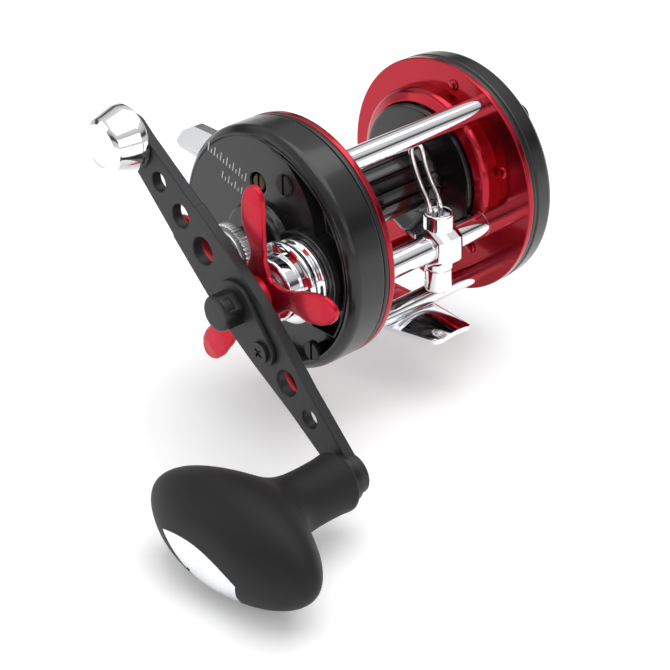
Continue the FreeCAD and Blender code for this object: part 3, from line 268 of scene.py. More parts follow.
@kept_finish
def chrome():
    values = finish_values()
    return metal("chrome_plate", values.chrome, values.polish * 0.6, values.polish * 0.8, 260.0, 0.02)


@kept_finish
def anodised_red():
    return metal("anodised_red", finish_values().red, 0.14, 0.12, 700.0, 0.05, 0.92, coat=0.4)


@kept_finish
def star_red():
    return metal("star_red", finish_values().star, 0.34, 0.12, 1600.0, 0.10, 0.75, coat=0.1)


@kept_finish
def steel():
    return metal("plain_steel", (0.55, 0.55, 0.56), 0.22, 0.2, 900.0, 0.08, turned=True)


@kept_finish
def aluminium():
    return metal("turned_aluminium", (0.72, 0.72, 0.73), 0.25, 0.2, 900.0, 0.08, turned=True)


@kept_finish
def brass():
    return metal("machined_brass", (0.62, 0.42, 0.16), 0.2, 0.2, 800.0, 0.06, turned=True)


@kept_finish
def black_screw():
    return metal("black_screw", (0.02, 0.02, 0.021), 0.28, 0.15, 1200.0, 0.08, 0.5)


@kept_finish
def dull_brass():
    return metal("dull_brass", (0.10, 0.07, 0.03), 0.4, 0.15, 800.0, 0.06, turned=True)


@kept_finish
def lever_plate():
    return metal("lever_plate", (0.60, 0.61, 0.62), 0.2, 0.12, 500.0, 0.04)


@kept_finish
def spool_black():
    return metal("spool_black", finish_values().spool, 0.10, 0.12, 900.0, 0.04, 0.6, coat=0.5)


@kept_finish
def arm_charcoal():
    return metal("arm_charcoal", finish_values().arm, 0.42, 0.14, 2400.0, 0.16, 0.3)


@kept_finish
def cover_satin():
    """Satin paint with a fine orange-peel texture."""
    finish = Finish("cover_satin")
    where = finish.place()
    peel = finish.noise(where, 1500.0, 2.0)
    drift = finish.noise(where, 45.0, 3.0)
    base = finish_values().cover
    finish.set(Base_Color=drift.blend(tint(base, 0.8), tint(base, 1.3)), Roughness=0.19 + drift * 0.08,
               Specular_IOR_Level=0.4, Coat_Weight=0.15, Coat_Roughness=0.08)
    finish.bump(peel, 0.10, 0.00006)
    return finish


@kept_finish
def trim_gloss():
    finish = Finish("trim_gloss")
    drift = finish.noise(finish.place(), 120.0, 3.0)
    finish.set(Base_Color=drift.blend((0.006, 0.006, 0.007, 1), (0.012, 0.012, 0.013, 1)), Roughness=0.2
               + drift * 0.15)
    finish.bump(drift, 0.05, 0.00005)
    return finish


@kept_finish
def knob_soft():
    """Soft-touch coating: dense fine grain and a dull sheen."""
    finish = Finish("knob_soft")
    where = finish.place()
    grain = finish.noise(where, 2600.0, 4.0, 0.6)
    drift = finish.noise(where, 35.0, 3.0)
    base = finish_values().knob
    finish.set(Base_Color=(drift * 0.7 + grain * 0.3).blend(tint(base, 0.75), tint(base, 1.5)),
               Roughness=0.48 + drift * 0.14, Specular_IOR_Level=0.2)
    finish.bump(grain, 0.22, 0.00007)
    return finish


@kept_finish
def badge_silver():
    """Bright plate with a fine crossed engraving."""
    finish = Finish("badge_silver")
    place = finish.stretched(1.0, 1.0, 1.0)
    lines = finish.node("ShaderNodeTexWave", {"wave_type": "BANDS", "bands_direction": "DIAGONAL"},
                        Vector=place,
                        Scale=620.0, Distortion=0.4, Detail=1.0)["Fac"]
    drift = finish.noise(place, 160.0, 3.0)
    finish.set(Base_Color=drift.blend((0.78, 0.80, 0.83, 1), (0.92, 0.93, 0.95, 1)), Metallic=1.0,
               Roughness=0.16 + lines * 0.12)
    finish.bump(lines, 0.12, 0.00004)
    return finish


@kept_finish
def nylon():
    finish = Finish("moulded_nylon")
    grain = finish.noise(finish.place(), 700.0, 3.0)
    finish.set(Base_Color=grain.blend((0.55, 0.54, 0.50, 1), (0.66, 0.65, 0.61, 1)), Roughness=0.5
               + grain * 0.1)
    finish.bump(grain, 0.1, 0.00005)
    return finish


@kept_finish
def fibre():
    finish = Finish("drag_fibre")
    weave = finish.noise(finish.stretched(1.0, 3.0, 0.4), 900.0, 5.0)
    finish.set(Base_Color=weave.blend((0.05, 0.035, 0.02, 1), (0.2, 0.14, 0.08, 1)),
               Roughness=0.8 - weave * 0.1)
    finish.bump(weave, 0.3, 0.0001)
    return finish


@kept_finish
def print_grey():
    finish = Finish("print_grey")
    speck = finish.noise(finish.place(), 1800.0, 3.0)
    finish.set(Base_Color=speck.blend((0.5, 0.51, 0.52, 1), (0.66, 0.67, 0.68, 1)), Roughness=0.45
               + speck * 0.1)
    finish.bump(speck, 0.08, 0.00003)
    return finish


@kept_finish
def floor_paper():
    finish = Finish("floor_paper")
    drift = finish.noise(finish.place(), 6.0, 2.0)
    finish.set(Base_Color=drift.blend((0.93, 0.93, 0.93, 1), (0.95, 0.95, 0.95, 1)), Roughness=0.75,
               Emission_Color=(1, 1, 1, 1),
               Emission_Strength=0.18)
    return finish


SLOT_FINISH = {
    "red_anodised": anodised_red, "red_satin": star_red, "chrome": chrome, "steel": steel, "nylon": nylon,
    "brass": brass, "black_satin": cover_satin, "black_trim": trim_gloss, "black_steel": black_screw,
    "spool_black": spool_black, "aluminium": aluminium, "fibre": fibre, "black_arm": arm_charcoal,
    "soft_black": knob_soft, "badge_silver": badge_silver,
}
NODE_SLOT = {item["node"]: item["material_slot"] for item in frame["record"]["subparts"]}
NODE_BODY = {node: body for body, nodes in frame["record"]["behaviour"]["bodies"].items() for node in nodes}


# --- mesh building ---------------------------------------------------------------------------

def settle(mesh, name, *nodes, body=None, slot=None, material=None, smooth_angle=38.0, weighted=True):
    """Put a finished mesh in the scene as a piece that stands for the given CAD nodes."""
    mesh.name = name
    piece = bpy.data.objects.new(name, mesh)
    bpy.context.scene.collection.objects.link(piece)
    mesh.shade_smooth()
    mesh.set_sharp_from_angle(angle=math.radians(smooth_angle))
    if weighted:
        modifier = piece.modifiers.new("even_shading", "WEIGHTED_NORMAL")
        modifier.keep_sharp = True
    slot = slot or NODE_SLOT[nodes[0]]
    mesh.materials.clear()
    mesh.materials.append(material or SLOT_FINISH[slot]())
    if nodes:
        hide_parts(*nodes)
    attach(piece, body or NODE_BODY[nodes[0]])
    return piece


def mesh_from(points, faces):
    """Closed mesh from points in millimetres, with its faces turned outwards."""
    mesh = bpy.data.meshes.new("piece")
    mesh.from_pydata([Vector(p) * MM for p in points], [], faces)
    shape = bmesh.new()
    shape.from_mesh(mesh)
    bmesh.ops.remove_doubles(shape, verts=shape.verts, dist=0.000002)
    bmesh.ops.recalc_face_normals(shape, faces=shape.faces)
    shape.to_mesh(mesh)
    shape.free()
    return mesh


def joined(*meshes):
    shape = bmesh.new()
    for mesh in meshes:
        shape.from_mesh(mesh)
        bpy.data.meshes.remove(mesh)
    whole = bpy.data.meshes.new("piece")
    shape.to_mesh(whole)
    shape.free()
    return whole


def rounded(points, radii, closed=True, steps=4):
    """Outline with each corner replaced by a short curve; a radius of 0 keeps the corner."""
    count = len(points)
    if not hasattr(radii, "__len__"):
        radii = [radii] * count
    out = []
    for index, corner in enumerate(points):
        here = Vector(corner)
        radius = radii[index]
        if radius <= 0 or (not closed and index in (0, count - 1)):
            out.append(here)
            continue
        before = Vector(points[index - 1]) - here
        after = Vector(points[(index + 1) % count]) - here
        reach = min(radius, before.length * 0.45, after.length * 0.45)
        start = here + before.normalized() * reach
        end = here + after.normalized() * reach
        for step in range(steps + 1):
            t = step / steps
            out.append(start * (1 - t) ** 2 + here * 2 * t * (1 - t) + end * t * t)
    return out


def lathe(outline, centre, around=128, axis="X", wobble=None):
    """Surface turned about an axis from a closed outline of (along, radius)."""
    rings, points, faces = [], [], []
    for along, radius in outline:
        if radius < 1e-6:
            rings.append([len(points)] * around)
            points.append(turned_point(along, 0, 0, centre, axis))
            continue
        start = len(points)
        for step in range(around):
            angle = 2 * math.pi * step / around
            reach = radius + (wobble(along, radius, angle) if wobble else 0)
            points.append(turned_point(along, reach, angle, centre, axis))
        rings.append(list(range(start, start + around)))
    for index, ring in enumerate(rings):
        following = rings[(index + 1) % len(rings)]
        for step in range(around):
            after = (step + 1) % around
            corners = [ring[step], ring[after], following[after], following[step]]
            unique = list(dict.fromkeys(corners))
            if len(unique) > 2:
                faces.append(unique)
    return mesh_from(points, faces)


def turned_point(along, radius, angle, centre, axis):
    if axis == "X":
        return (along, centre[0] + radius * math.cos(angle), centre[1] + radius * math.sin(angle))
    return (centre[0] + radius * math.cos(angle), centre[1] + radius * math.sin(angle), along)


def circle(centre, radius, count=64, start=0.0, end=360.0):
    full = abs(end - start) >= 360
    total = count if full else count + 1
    turns = [math.radians(start + (end - start) * step / count) for step in range(total)]
    return [(centre[0] + radius * math.cos(a), centre[1] + radius * math.sin(a)) for a in turns]


def plate(loops, left, right, edge):
    """Flat piece square to X with rounded edges; the first loop is its outside, the rest are holes."""
    data = bpy.data.curves.new("outline", "CURVE")
    data.dimensions = "2D"
    data.fill_mode = "BOTH"
    data.extrude = ((right - left) / 2 - edge) * MM
    data.bevel_depth = edge * MM
    data.bevel_resolution = 2
    data.offset = -edge * MM
    for loop in loops:
        spline = data.splines.new("POLY")
        spline.points.add(len(loop) - 1)
        for point, place in zip(spline.points, loop):
            point.co = (place[0] * MM, place[1] * MM, 0, 1)
        spline.use_cyclic_u = True
    maker = bpy.data.objects.new("outline", data)
    bpy.context.scene.collection.objects.link(maker)
    bpy.context.view_layer.update()
    mesh = bpy.data.meshes.new_from_object(maker.evaluated_get(bpy.context.evaluated_depsgraph_get()))
    bpy.data.objects.remove(maker)
    bpy.data.curves.remove(data)
    turn = Matrix(((0, 0, 1, (left + right) / 2 * MM), (1, 0, 0, 0), (0, 1, 0, 0), (0, 0, 0, 1)))
    mesh.transform(turn)
    shape = bmesh.new()
    shape.from_mesh(mesh)
    bmesh.ops.remove_doubles(shape, verts=shape.verts, dist=0.000002)
    bmesh.ops.recalc_face_normals(shape, faces=shape.faces)
    shape.to_mesh(mesh)
    shape.free()
    return mesh


def grid_slab(columns, rows, top, bottom):
    """Closed slab from two surfaces given as functions of (column, row) steps."""
    points = [top(c, r) for c in range(columns) for r in range(rows)]
    points += [bottom(c, r) for c in range(columns) for r in range(rows)]
    under = columns * rows
    faces = []
    for c in range(columns - 1):
        for r in range(rows - 1):
            a, b, d, e = c * rows + r, (c + 1) * rows + r, (c + 1) * rows + r + 1, c * rows + r + 1
            faces += [(a, b, d, e), (under + e, under + d, under + b, under + a)]
    rim = [(c, 0) for c in range(columns)] + [(columns - 1, r) for r in range(1, rows)]
    rim += [(c, rows - 1) for c in range(columns - 2, -1, -1)] + [(0, r) for r in range(rows - 2, 0, -1)]
    for (c0, r0), (c1, r1) in zip(rim, rim[1:] + rim[:1]):
        a, b = c0 * rows + r0, c1 * rows + r1
        faces.append((a, b, under + b, under + a))
    return mesh_from(points, faces)


def between(value, low_end, high_end):
    return max(0.0, min(1.0, (value - low_end) / (high_end - low_end)))


def eased(value):
    return value * value * (3 - 2 * value)


def along_arm(distance, across=0.0):
    place = DRIVE + ALONG * distance + ACROSS * across
    return (place.x, place.y)


# --- frame pieces ----------------------------------------------------------------------------

def side_plate(name, side):
    """Plate with a bright edge and a lip that slopes to the spool's mouth."""
    inner = low(name).x if side < 0 else high(name).x
    wall = abs(high("handle_side_plate").x - 22.4)
    outer, face = inner, inner - side * wall
    near = (high(name).x if side < 0 else low(name).x)
    mouth = circle(SPOOL, 18.1, 128)
    disc = plate([circle(PLATE, RADIUS, 160), mouth], min(outer, face), max(outer, face), 0.3)
    outline = [(face + side * 0.6, 18.1), (near, 18.1), (near, 18.35), (near + side * 1.0, 20.5),
               (near + side * 2.2, 21.0), (face - side * 0.4, 21.25), (face + side * 0.6, 21.4)]
    lip = lathe(rounded(outline, [0, 0.15, 0.3, 0.6, 0.8, 0.3, 0]), SPOOL, 160)
    return settle(joined(disc, lip), name, name)


class REEL_OT_side_plates(bpy.types.Operator):
    """Build the two red side plates and the rivets on their inner faces."""
    bl_idname = "reel.side_plates"
    bl_label = "Side plates"

    def execute(self, context):
        side_plate("handle_side_plate", 1)
        side_plate("palm_side_plate", -1)
        face = low("palm_side_plate").x + 1.7
        heads = []
        for y, up in ((4.1, 25.3), (21.0, 7.9), (11.1, -16.1)):
            outline = [(face - 0.1, 0), (face - 0.1, 1.5), (face + 0.35, 1.5), (face + 0.75, 1.0),
                       (face + 0.8, 0)]
            heads.append(lathe(rounded(outline, [0, 0, 0.2, 0.3, 0]), (PLATE.x + y, PLATE.y + up), 32))
        settle(joined(*heads), "plate_rivets", body="frame", slot="red_anodised")
        return {"FINISHED"}


class REEL_OT_pillars(bpy.types.Operator):
    """Build the chromed pillars between the side plates."""
    bl_idname = "reel.pillars"
    bl_label = "Pillars"

    def execute(self, context):
        for name in ("top_front_pillar", "lower_front_pillar", "lower_rear_pillar"):
            left, right = low(name), high(name)
            radius = (right.y - left.y) / 2
            centre = (middle(name).y, right.z - radius)
            outline = [(left.x, 0), (left.x, radius - 0.1), (left.x + 0.15, radius), (right.x - 0.15, radius),
                       (right.x, radius - 0.1), (right.x, 0)]
            settle(lathe(outline, centre, 96), name, name)
        return {"FINISHED"}


class REEL_OT_covers(bpy.types.Operator):
    """Build the two satin covers with their trim rings and fasteners."""
    bl_idname = "reel.covers"
    bl_label = "Covers"

    def execute(self, context):
        handle_cover()
        palm_cover()
        trim_rings()
        return {"FINISHED"}


def crescent(centre, face_centre, face_radius, boss_centre, boss_radius, outer):
    """Outline of the low crescent in front of the raised face."""
    loop = []
    bottom = -14.0
    start = math.degrees(math.asin(bottom / outer))
    end = 80.0
    loop += circle((0, 0), outer, 60, start, end)
    for step in range(61):
        angle = math.radians(76 - step * 1.55)
        point = Vector((face_centre[0] + face_radius * math.cos(angle), face_centre[1]
                        + face_radius * math.sin(angle)))
        if (point - Vector(boss_centre)).length > boss_radius and point.y > bottom:
            loop.append((point.x, point.y))
        else:
            break
    last = Vector(loop[-1]) - Vector(boss_centre)
    turn = math.degrees(math.atan2(last.y, last.x))
    drop = (bottom - boss_centre[1]) / boss_radius
    final = math.degrees(math.asin(drop)) if abs(drop) < 1 else -88.0
    loop += circle(boss_centre, boss_radius, 30, turn - 2, final)
    loop.append((boss_centre[0] + 1.5, bottom))
    return [(centre[0] + y, centre[1] + z) for y, z in loop]


def handle_cover():
    name = "handle_side_cover"
    left = high("handle_side_trim_ring").x
    face = 35.1
    boss = DRIVE - PLATE
    wall = [(left, 28.4), (left, RADIUS - 0.5), (left + 0.5, RADIUS), (face - 1.6, RADIUS),
            (face, RADIUS - 1.5),
            (face, 27.4), (face - 0.6, 27.4), (face - 1.6, 28.2)]
    shell = lathe(rounded(wall, [0, 0.3, 0.3, 0.9, 0.9, 0.3, 0, 0], steps=5), PLATE, 192)
    pocket = crescent(PLATE, (-3.8, 7.6), 20.8, boss, 10.9, 26.9)
    plug = (PLATE.x - 1.9, PLATE.y + 16.7)
    post_hole = (PLATE.x + 7.4, PLATE.y + 19.4)
    pinion_room = circle(SPOOL, 4.0, 48)
    holes = [rounded(pocket, 0.5, steps=2), circle(plug, 2.6, 48), pinion_room]
    top = plate([circle(PLATE, RADIUS - 1.55, 160)] + holes, face - 3.9, face, 0.4)
    floor = plate([circle(PLATE, 28.4, 96), pinion_room], 30.6, 31.25, 0.05)
    housing = rounded([(31.2, 7), (31.2, 10.9), (36.6, 10.8), (36.6, 7)], [0, 0, 0.7, 0], steps=5)
    gear_boss = lathe(housing, DRIVE, 128)
    centre_boss = rounded([(34.0, 3), (34.0, 10.2), (35.2, 10.2), (36.2, 9.6), (38.0, 9.2), (38.0, 3)],
                          [0, 0, 0.4, 0.4, 0.6, 0], steps=4)
    spool_boss = lathe(centre_boss, SPOOL, 128)
    neck = lathe([(37.5, 1.7), (37.5, 4.9), (45.6, 4.9), (45.8, 4.7), (45.8, 1.7)], SPOOL, 64)
    post = lathe(rounded([(31.2, 0), (31.2, 2.7), (34.2, 2.5), (34.2, 0)], [0, 0, 0.3, 0]), post_hole, 48)
    piece = settle(joined(shell, top, floor, gear_boss, spool_boss, neck, post), name, name)
    marks = []
    for start, end, count, tall in (((-19.5, 19.1), (-6.5, 15.6), 13, 2.3),
                                    ((-14.8, 13.6), (-5.8, 11.2), 9, 2.0)):
        first, last = Vector(start), Vector(end)
        run = (last - first).normalized()
        rise = Vector((-run.y, run.x))
        for step in range(count):
            at = first.lerp(last, step / (count - 1))
            height = tall * (0.5 if step % 2 else 1.0)
            corners = [at - run * 0.17, at + run * 0.17, at + run * 0.17 + rise * height, at - run * 0.17
                       + rise * height]
            loop = [(PLATE.x + c.x, PLATE.y + c.y) for c in corners]
            marks.append(plate([loop], face - 0.02, face + 0.05, 0.01))
    settle(joined(*marks), "cover_tick_marks", body="frame", slot="aluminium", material=print_grey())
    return piece


def palm_cover():
    right = -high("handle_side_trim_ring").x
    wall = [(right, 0), (right, RADIUS - 0.5), (right - 0.5, RADIUS), (-30.2, RADIUS - 0.3),
            (-31.6, RADIUS - 1.6),
            (-32.2, RADIUS - 7), (-33.0, RADIUS - 15), (-33.0, 0)]
    settle(lathe(rounded(wall, [0, 0.3, 0.3, 0.9, 1.2, 3, 3, 0], steps=5), PLATE, 192), "palm_side_cover",
           "palm_side_cover")


def trim_rings():
    for name in ("handle_side_trim_ring", "palm_side_trim_ring"):
        left, right = low(name).x, high(name).x
        outline = [(left, 28.4), (left, RADIUS - 0.25), (left + 0.2, RADIUS - 0.12),
                   (right - 0.2, RADIUS - 0.12),
                   (right, RADIUS - 0.25), (right, 28.4)]
        settle(lathe(outline, PLATE, 192), name, name)


# --- foot ------------------------------------------------------------------------------------

class REEL_OT_foot(bpy.types.Operator):
    """Build the arched foot."""
    bl_idname = "reel.foot"
    bl_label = "Foot"

    def execute(self, context):
        long, root, tip = high("reel_foot").y, high("reel_foot").x, 5.9
        saddle = 12.0
        columns, rows = 61, 25

        def surface(c, r, thick):
            y = -long + 2 * long * c / (columns - 1)
            out = between(abs(y), saddle, long)
            half = root + (tip - root) * out
            corner = between(abs(y), long - 1.4, long)
            half -= 1.3 * (1 - math.sqrt(max(0, 1 - corner * corner)))
            v = -1 + 2 * r / (rows - 1)
            x = half * v
            arch = math.sqrt(22.0 ** 2 - x * x) - math.sqrt(22.0 ** 2 - root * root)
            lift = eased(between(abs(y), saddle - 0.2, saddle + 2.6))
            round_off = 0.12 * (1 if abs(v) > 0.999 else 0)
            return (x, y, max(0.0, arch * lift) + (thick * (1.4 - 0.2 * lift) - round_off
                                                   if thick else round_off))

        slab = grid_slab(columns, rows, lambda c, r: surface(c, r, 1), lambda c, r: surface(c, r, 0))
        settle(slab, "reel_foot", "reel_foot", smooth_angle=50)
        return {"FINISHED"}


# --- level wind ------------------------------------------------------------------------------

class REEL_OT_level_wind(bpy.types.Operator):
    """Build the slotted tube, the carriage, its cap and the wire loop."""
    bl_idname = "reel.level_wind"
    bl_label = "Level wind"

    def execute(self, context):
        tube()
        carriage()
        wire()
        return {"FINISHED"}


def tube():
    left, right = low("level_wind_tube").x, high("level_wind_tube").x
    gap = math.degrees(math.asin(1.05 / 3.3))
    outer = circle(WORM, 3.3, 90, -90 + gap, 270 - gap)
    inner = circle(WORM, 2.65, 72, 270 - gap * 1.25, -90 + gap * 1.25)
    slit = plate([outer + inner], -16.5, 16.5, 0.08)
    ends = []
    for start, end in ((left, -16.5), (16.5, right)):
        outline = [(start, 2.65), (start, 3.3), (end, 3.3), (end, 2.65)]
        ends.append(lathe(outline, WORM, 90))
    settle(joined(slit, *ends), "level_wind_tube", "level_wind_tube")


def carriage():
    name = "line_guide_carriage"
    centre_x = middle("pawl_cap").x
    base = high("pawl_cap").z
    top = high(name).z

    def facets(along, radius, angle):
        """Six soft flats round the barrel."""
        if radius < 3.6:
            return 0
        phase = (math.degrees(angle) + 30) % 60 - 30
        flat = 1 / math.cos(math.radians(phase)) - 1
        return radius * (flat - 0.10) * 0.75

    half = 4.1
    barrel = [(-half, 3.35), (-half, 4.35), (-half + 1.2, 5.5), (-1.7, 5.95), (1.7, 5.95),
              (half - 1.2, 5.5), (half, 4.35),
              (half, 3.35)]
    barrel = [(centre_x + x, r) for x, r in barrel]
    body = lathe(rounded(barrel, [0, 0.3, 0.3, 0.3, 0.3, 0.3, 0.3, 0], steps=3), WORM, 120, wobble=facets)
    at = (centre_x, WORM.x)
    collar = [(WORM.y + 3.0, 0), (WORM.y + 3.0, 3.7), (top - 0.35, 3.7), (top, 3.4), (top, 2.9),
              (top - 1.6, 2.9), (top - 1.6, 0)]
    socket = [(base, 0), (base, 3.3), (base + 0.3, 3.55), (WORM.y - 3.0, 3.6), (WORM.y - 3.0, 0)]
    upper = lathe(rounded(collar, [0, 0, 0.25, 0.2, 0.2, 0, 0]), at, 72, "Z")
    lower = lathe(rounded(socket, [0, 0.1, 0.2, 0, 0]), at, 72, "Z")
    settle(joined(body, upper, lower), name, name, smooth_angle=28)
    bottom = low("pawl_cap").z
    cap = [(base, 0), (base, 3.15), (base - 0.2, 3.3), (bottom + 0.5, 3.3), (bottom, 2.8), (bottom, 1.2),
           (bottom + 0.5, 1.0),
           (bottom + 0.5, 0)]
    settle(lathe(rounded(cap, [0, 0.1, 0.1, 0.3, 0.3, 0.15, 0.1, 0]), at, 72, "Z"), "pawl_cap", "pawl_cap")


def wire():
    lowest, highest = low("line_guide_wire"), high("line_guide_wire")
    radius = shape_values().wire / MM
    centre_x = (lowest.x + highest.x) / 2
    half = 1.7
    path = [(WORM.x - 0.9, lowest.z), (WORM.x - 1.9, lowest.z + 3.6), (WORM.x - 4.3, lowest.z + 7.2),
            (WORM.x - 6.6, lowest.z + 11.6), (WORM.x - 7.75, highest.z - half - radius)]
    places = [(centre_x - half, y, z) for y, z in path]
    for angle in (30, 60, 90, 120, 150):
        turn = math.radians(angle)
        places.append((centre_x - half * math.cos(turn), path[-1][0] - 0.5 * math.sin(turn),
                       path[-1][1] + half * math.sin(turn)))
    places += [(centre_x + half, y, z) for y, z in reversed(path)]
    data = bpy.data.curves.new("wire_path", "CURVE")
    data.dimensions = "3D"
    data.bevel_depth = radius * MM
    data.bevel_resolution = 6
    data.resolution_u = 16
    data.use_fill_caps = True
    spline = data.splines.new("BEZIER")
    spline.bezier_points.add(len(places) - 1)
    for point, place in zip(spline.bezier_points, places):
        point.co = Vector(place) * MM
        point.handle_left_type = point.handle_right_type = "AUTO"
    maker = bpy.data.objects.new("wire_path", data)
    bpy.context.scene.collection.objects.link(maker)
    bpy.context.view_layer.update()
    mesh = bpy.data.meshes.new_from_object(maker.evaluated_get(bpy.context.evaluated_depsgraph_get()))
    bpy.data.objects.remove(maker)
    settle(mesh, "line_guide_wire", "line_guide_wire", weighted=False)


# --- spool and cap ---------------------------------------------------------------------------

class REEL_OT_spool(bpy.types.Operator):
    """Build the grooved spool."""
    bl_idname = "reel.spool"
    bl_label = "Spool"

    def execute(self, context):
        ribs = shape_values().ribs
        half = [(0, 7.8), (12.2, 7.8), (14.4, 9.0), (15.2, 16.9), (15.5, 17.75), (16.8, 17.75),
                (16.8, 16.6), (16.1, 15.8),
                (16.1, 6.5), (11.2, 6.5), (11.2, 2.8), (16.8, 2.8), (16.8, 1.3)]
        soft = [0, 0.4, 1.6, 0.3, 0.3, 0.25, 0.3, 0.4, 0.4, 0.3, 0.3, 0.2, 0]
        right = rounded(half, soft, closed=False)
        right = right[:1] + [Vector((x, 7.8)) for x in (4.0, 8.0, 11.2)] + right[1:]
        outline = right + [Vector((-p.x, p.y)) for p in reversed(right[1:])]

        def groove(along, radius, angle):
            if not ribs or radius < 7.0 or radius > 9.2 or abs(along) > 14.4:
                return 0
            phase = abs((angle * ribs / (2 * math.pi)) % 1 - 0.5)
            return -0.5 * eased(between(phase, 0.44, 0.49))

        settle(lathe(outline, SPOOL, 448, wobble=groove), "spool", "spool")
        return {"FINISHED"}


class REEL_OT_tension_cap(bpy.types.Operator):
    """Build the knurled cap over the spool's end."""
    bl_idname = "reel.tension_cap"
    bl_label = "Tension cap"

    def execute(self, context):
        values = shape_values()
        depth, knurls = values.knurl / MM, values.knurls
        left, right = low("tension_cap").x, high("tension_cap").x
        outline = [(left, 4.98), (left, 6.6), (left + 0.5, 7.4), (left + 3.0, 7.4), (left + 3.5, 6.4),
                   (right - 0.95, 6.3),
                   (right - 0.85, 6.9), (right - 0.4, 6.9), (right, 6.4), (right, 0), (46.0, 0), (46.0, 4.98)]
        soft = [0, 0.1, 0.2, 0.15, 0.1, 0.05, 0.1, 0.2, 0.2, 0, 0, 0]

        def knurl(along, radius, angle):
            if radius < 6.95:
                return 0
            return -depth * (0.5 + 0.5 * math.cos(angle * knurls)) * between(radius, 6.95, 7.3)

        settle(lathe(rounded(outline, soft), SPOOL, knurls * 8, wobble=knurl), "tension_cap", "tension_cap",
               material=steel(), slot="steel")
        return {"FINISHED"}


# --- drag and handle -------------------------------------------------------------------------

class REEL_OT_bearing_sleeve(bpy.types.Operator):
    """Build the chromed sleeve under the star."""
    bl_idname = "reel.bearing_sleeve"
    bl_label = "Bearing sleeve"

    def execute(self, context):
        base, end = 36.6, high("bearing_sleeve").x
        outline = [(31.2, 4.3), (31.2, 6.88), (base, 6.88), (base, 9.3), (base + 1.4, 9.3),
                   (base + 1.9, 8.6), (base + 2.3, 8.3),
                   (base + 3.5, 8.3), (base + 3.9, 9.2), (base + 4.1, 9.9), (base + 5.0, 9.9),
                   (base + 5.6, 9.2),
                   (base + 5.8, 7.6), (end - 0.5, 7.6), (end, 7.1), (end, 4.3)]
        soft = [0, 0, 0, 0.3, 0.4, 0.3, 0.3, 0.3, 0.3, 0.35, 0.35, 0.4, 0.2, 0.3, 0.3, 0]
        settle(lathe(rounded(outline, soft), DRIVE, 128), "bearing_sleeve", "bearing_sleeve")
        return {"FINISHED"}


class REEL_OT_star(bpy.types.Operator):
    """Build the five-paddle star drag wheel."""
    bl_idname = "reel.star"
    bl_label = "Star drag"

    def execute(self, context):
        base = low("star_drag").x
        ridge = shape_values().ridge / MM
        hub, reach = 6.6, 28.0
        columns, rows = 57, 15
        widths = ((3.0, 3.4), (hub, 3.75), (8.2, 2.75), (10.4, 2.3), (13.5, 2.75), (18.5, 3.55),
                  (22.5, 3.7), (25.5, 3.1),
                  (27.0, 2.2), (27.75, 1.2), (reach, 0.25))
        parts = []
        for number in range(5):
            turn = math.radians(87 - 72 * number)

            def surface(c, r, thick):
                u = widths[0][0] + (reach - widths[0][0]) * math.sin(c / (columns - 1) * math.pi / 2) ** 0.85
                half = curve_at(widths, u)
                v = -1 + 2 * r / (rows - 1)
                side = half * math.sin(v * math.pi / 2)
                rise = 1.6 * eased(between(u, 9, 20)) - 0.35 * between(u, 24, 28)
                crease = ridge * (1 - abs(v)) * eased(between(u, 11, 15)) * (1 - eased(between(u, 24, 27)))
                shoulder = 0.42 * abs(v) ** 5
                x = base + rise + (1.3 - shoulder + crease if thick else shoulder * 0.7)
                y, z = u, side
                return (x, DRIVE.x + y * math.cos(turn) - z * math.sin(turn),
                        DRIVE.y + y * math.sin(turn) + z * math.cos(turn))

            parts.append(grid_slab(columns, rows, lambda c, r: surface(c, r, 1), lambda c,
                                   r: surface(c, r, 0)))
        outline = [(base, 2.55), (base, hub + 0.3), (base + 0.3, hub + 0.6), (base + 1.0, hub + 0.6),
                   (base + 1.3, hub + 0.3),
                   (base + 1.3, 5.2), (base + 2.85, 5.0), (base + 2.85, 2.55)]
        parts.append(lathe(rounded(outline, [0, 0.2, 0.2, 0.2, 0.2, 0.3, 0.3, 0]), DRIVE, 96))
        settle(joined(*parts), "star_drag", "star_drag", smooth_angle=55, weighted=False)
        return {"FINISHED"}


def curve_at(stops, at):
    """Height of a smooth curve through (place, height) stops."""
    for (x0, y0), (x1, y1) in zip(stops, stops[1:]):
        if at <= x1:
            along = between(at, x0, x1)
            return y0 + (y1 - y0) * (along if x1 < 9 or x1 > 25 else eased(along))
    return stops[-1][1]


class REEL_OT_handle_arm(bpy.types.Operator):
    """Build the drilled arm, the lock plate and the handle nut."""
    bl_idname = "reel.handle_arm"
    bl_label = "Handle arm"

    def execute(self, context):
        edge = shape_values().edge / MM
        left, right = low("handle_arm").x, high("handle_arm").x
        upper = [(26, 5.2), (12, 7.2), (4, 8.0), (-4, 8.0), (-22.4, 6.9), (-22.9, 6.45), (-42, 4.9)]
        end_far = [along_arm(-46.0 + 4.9 * math.cos(a), 4.9 * math.sin(a))
                   for a in [math.radians(100 + 160 * k / 24) for k in range(25)]]
        end_near = [along_arm(45.3 + 4.8 * math.cos(a), 4.8 * math.sin(a))
                    for a in [math.radians(-128 + 256 * k / 32) for k in range(33)]]
        top = [along_arm(u, v) for u, v in upper]
        under = [along_arm(u, -v) for u, v in reversed(upper)]
        loop = end_near + rounded(top, 1.5, closed=False) + end_far + rounded(under, 1.5, closed=False)
        holes = [(12, 1.02), (20.9, 3.1), (30.4, 2.25), (-14.5, 3.35), (-24.0, 2.85), (-33.4, 2.35)]
        loops = [loop] + [circle(along_arm(u), r, 48) for u, r in holes]
        settle(plate(loops, left, right, edge), "handle_arm", "handle_arm")
        lock_plate(right)
        nut(right)
        return {"FINISHED"}


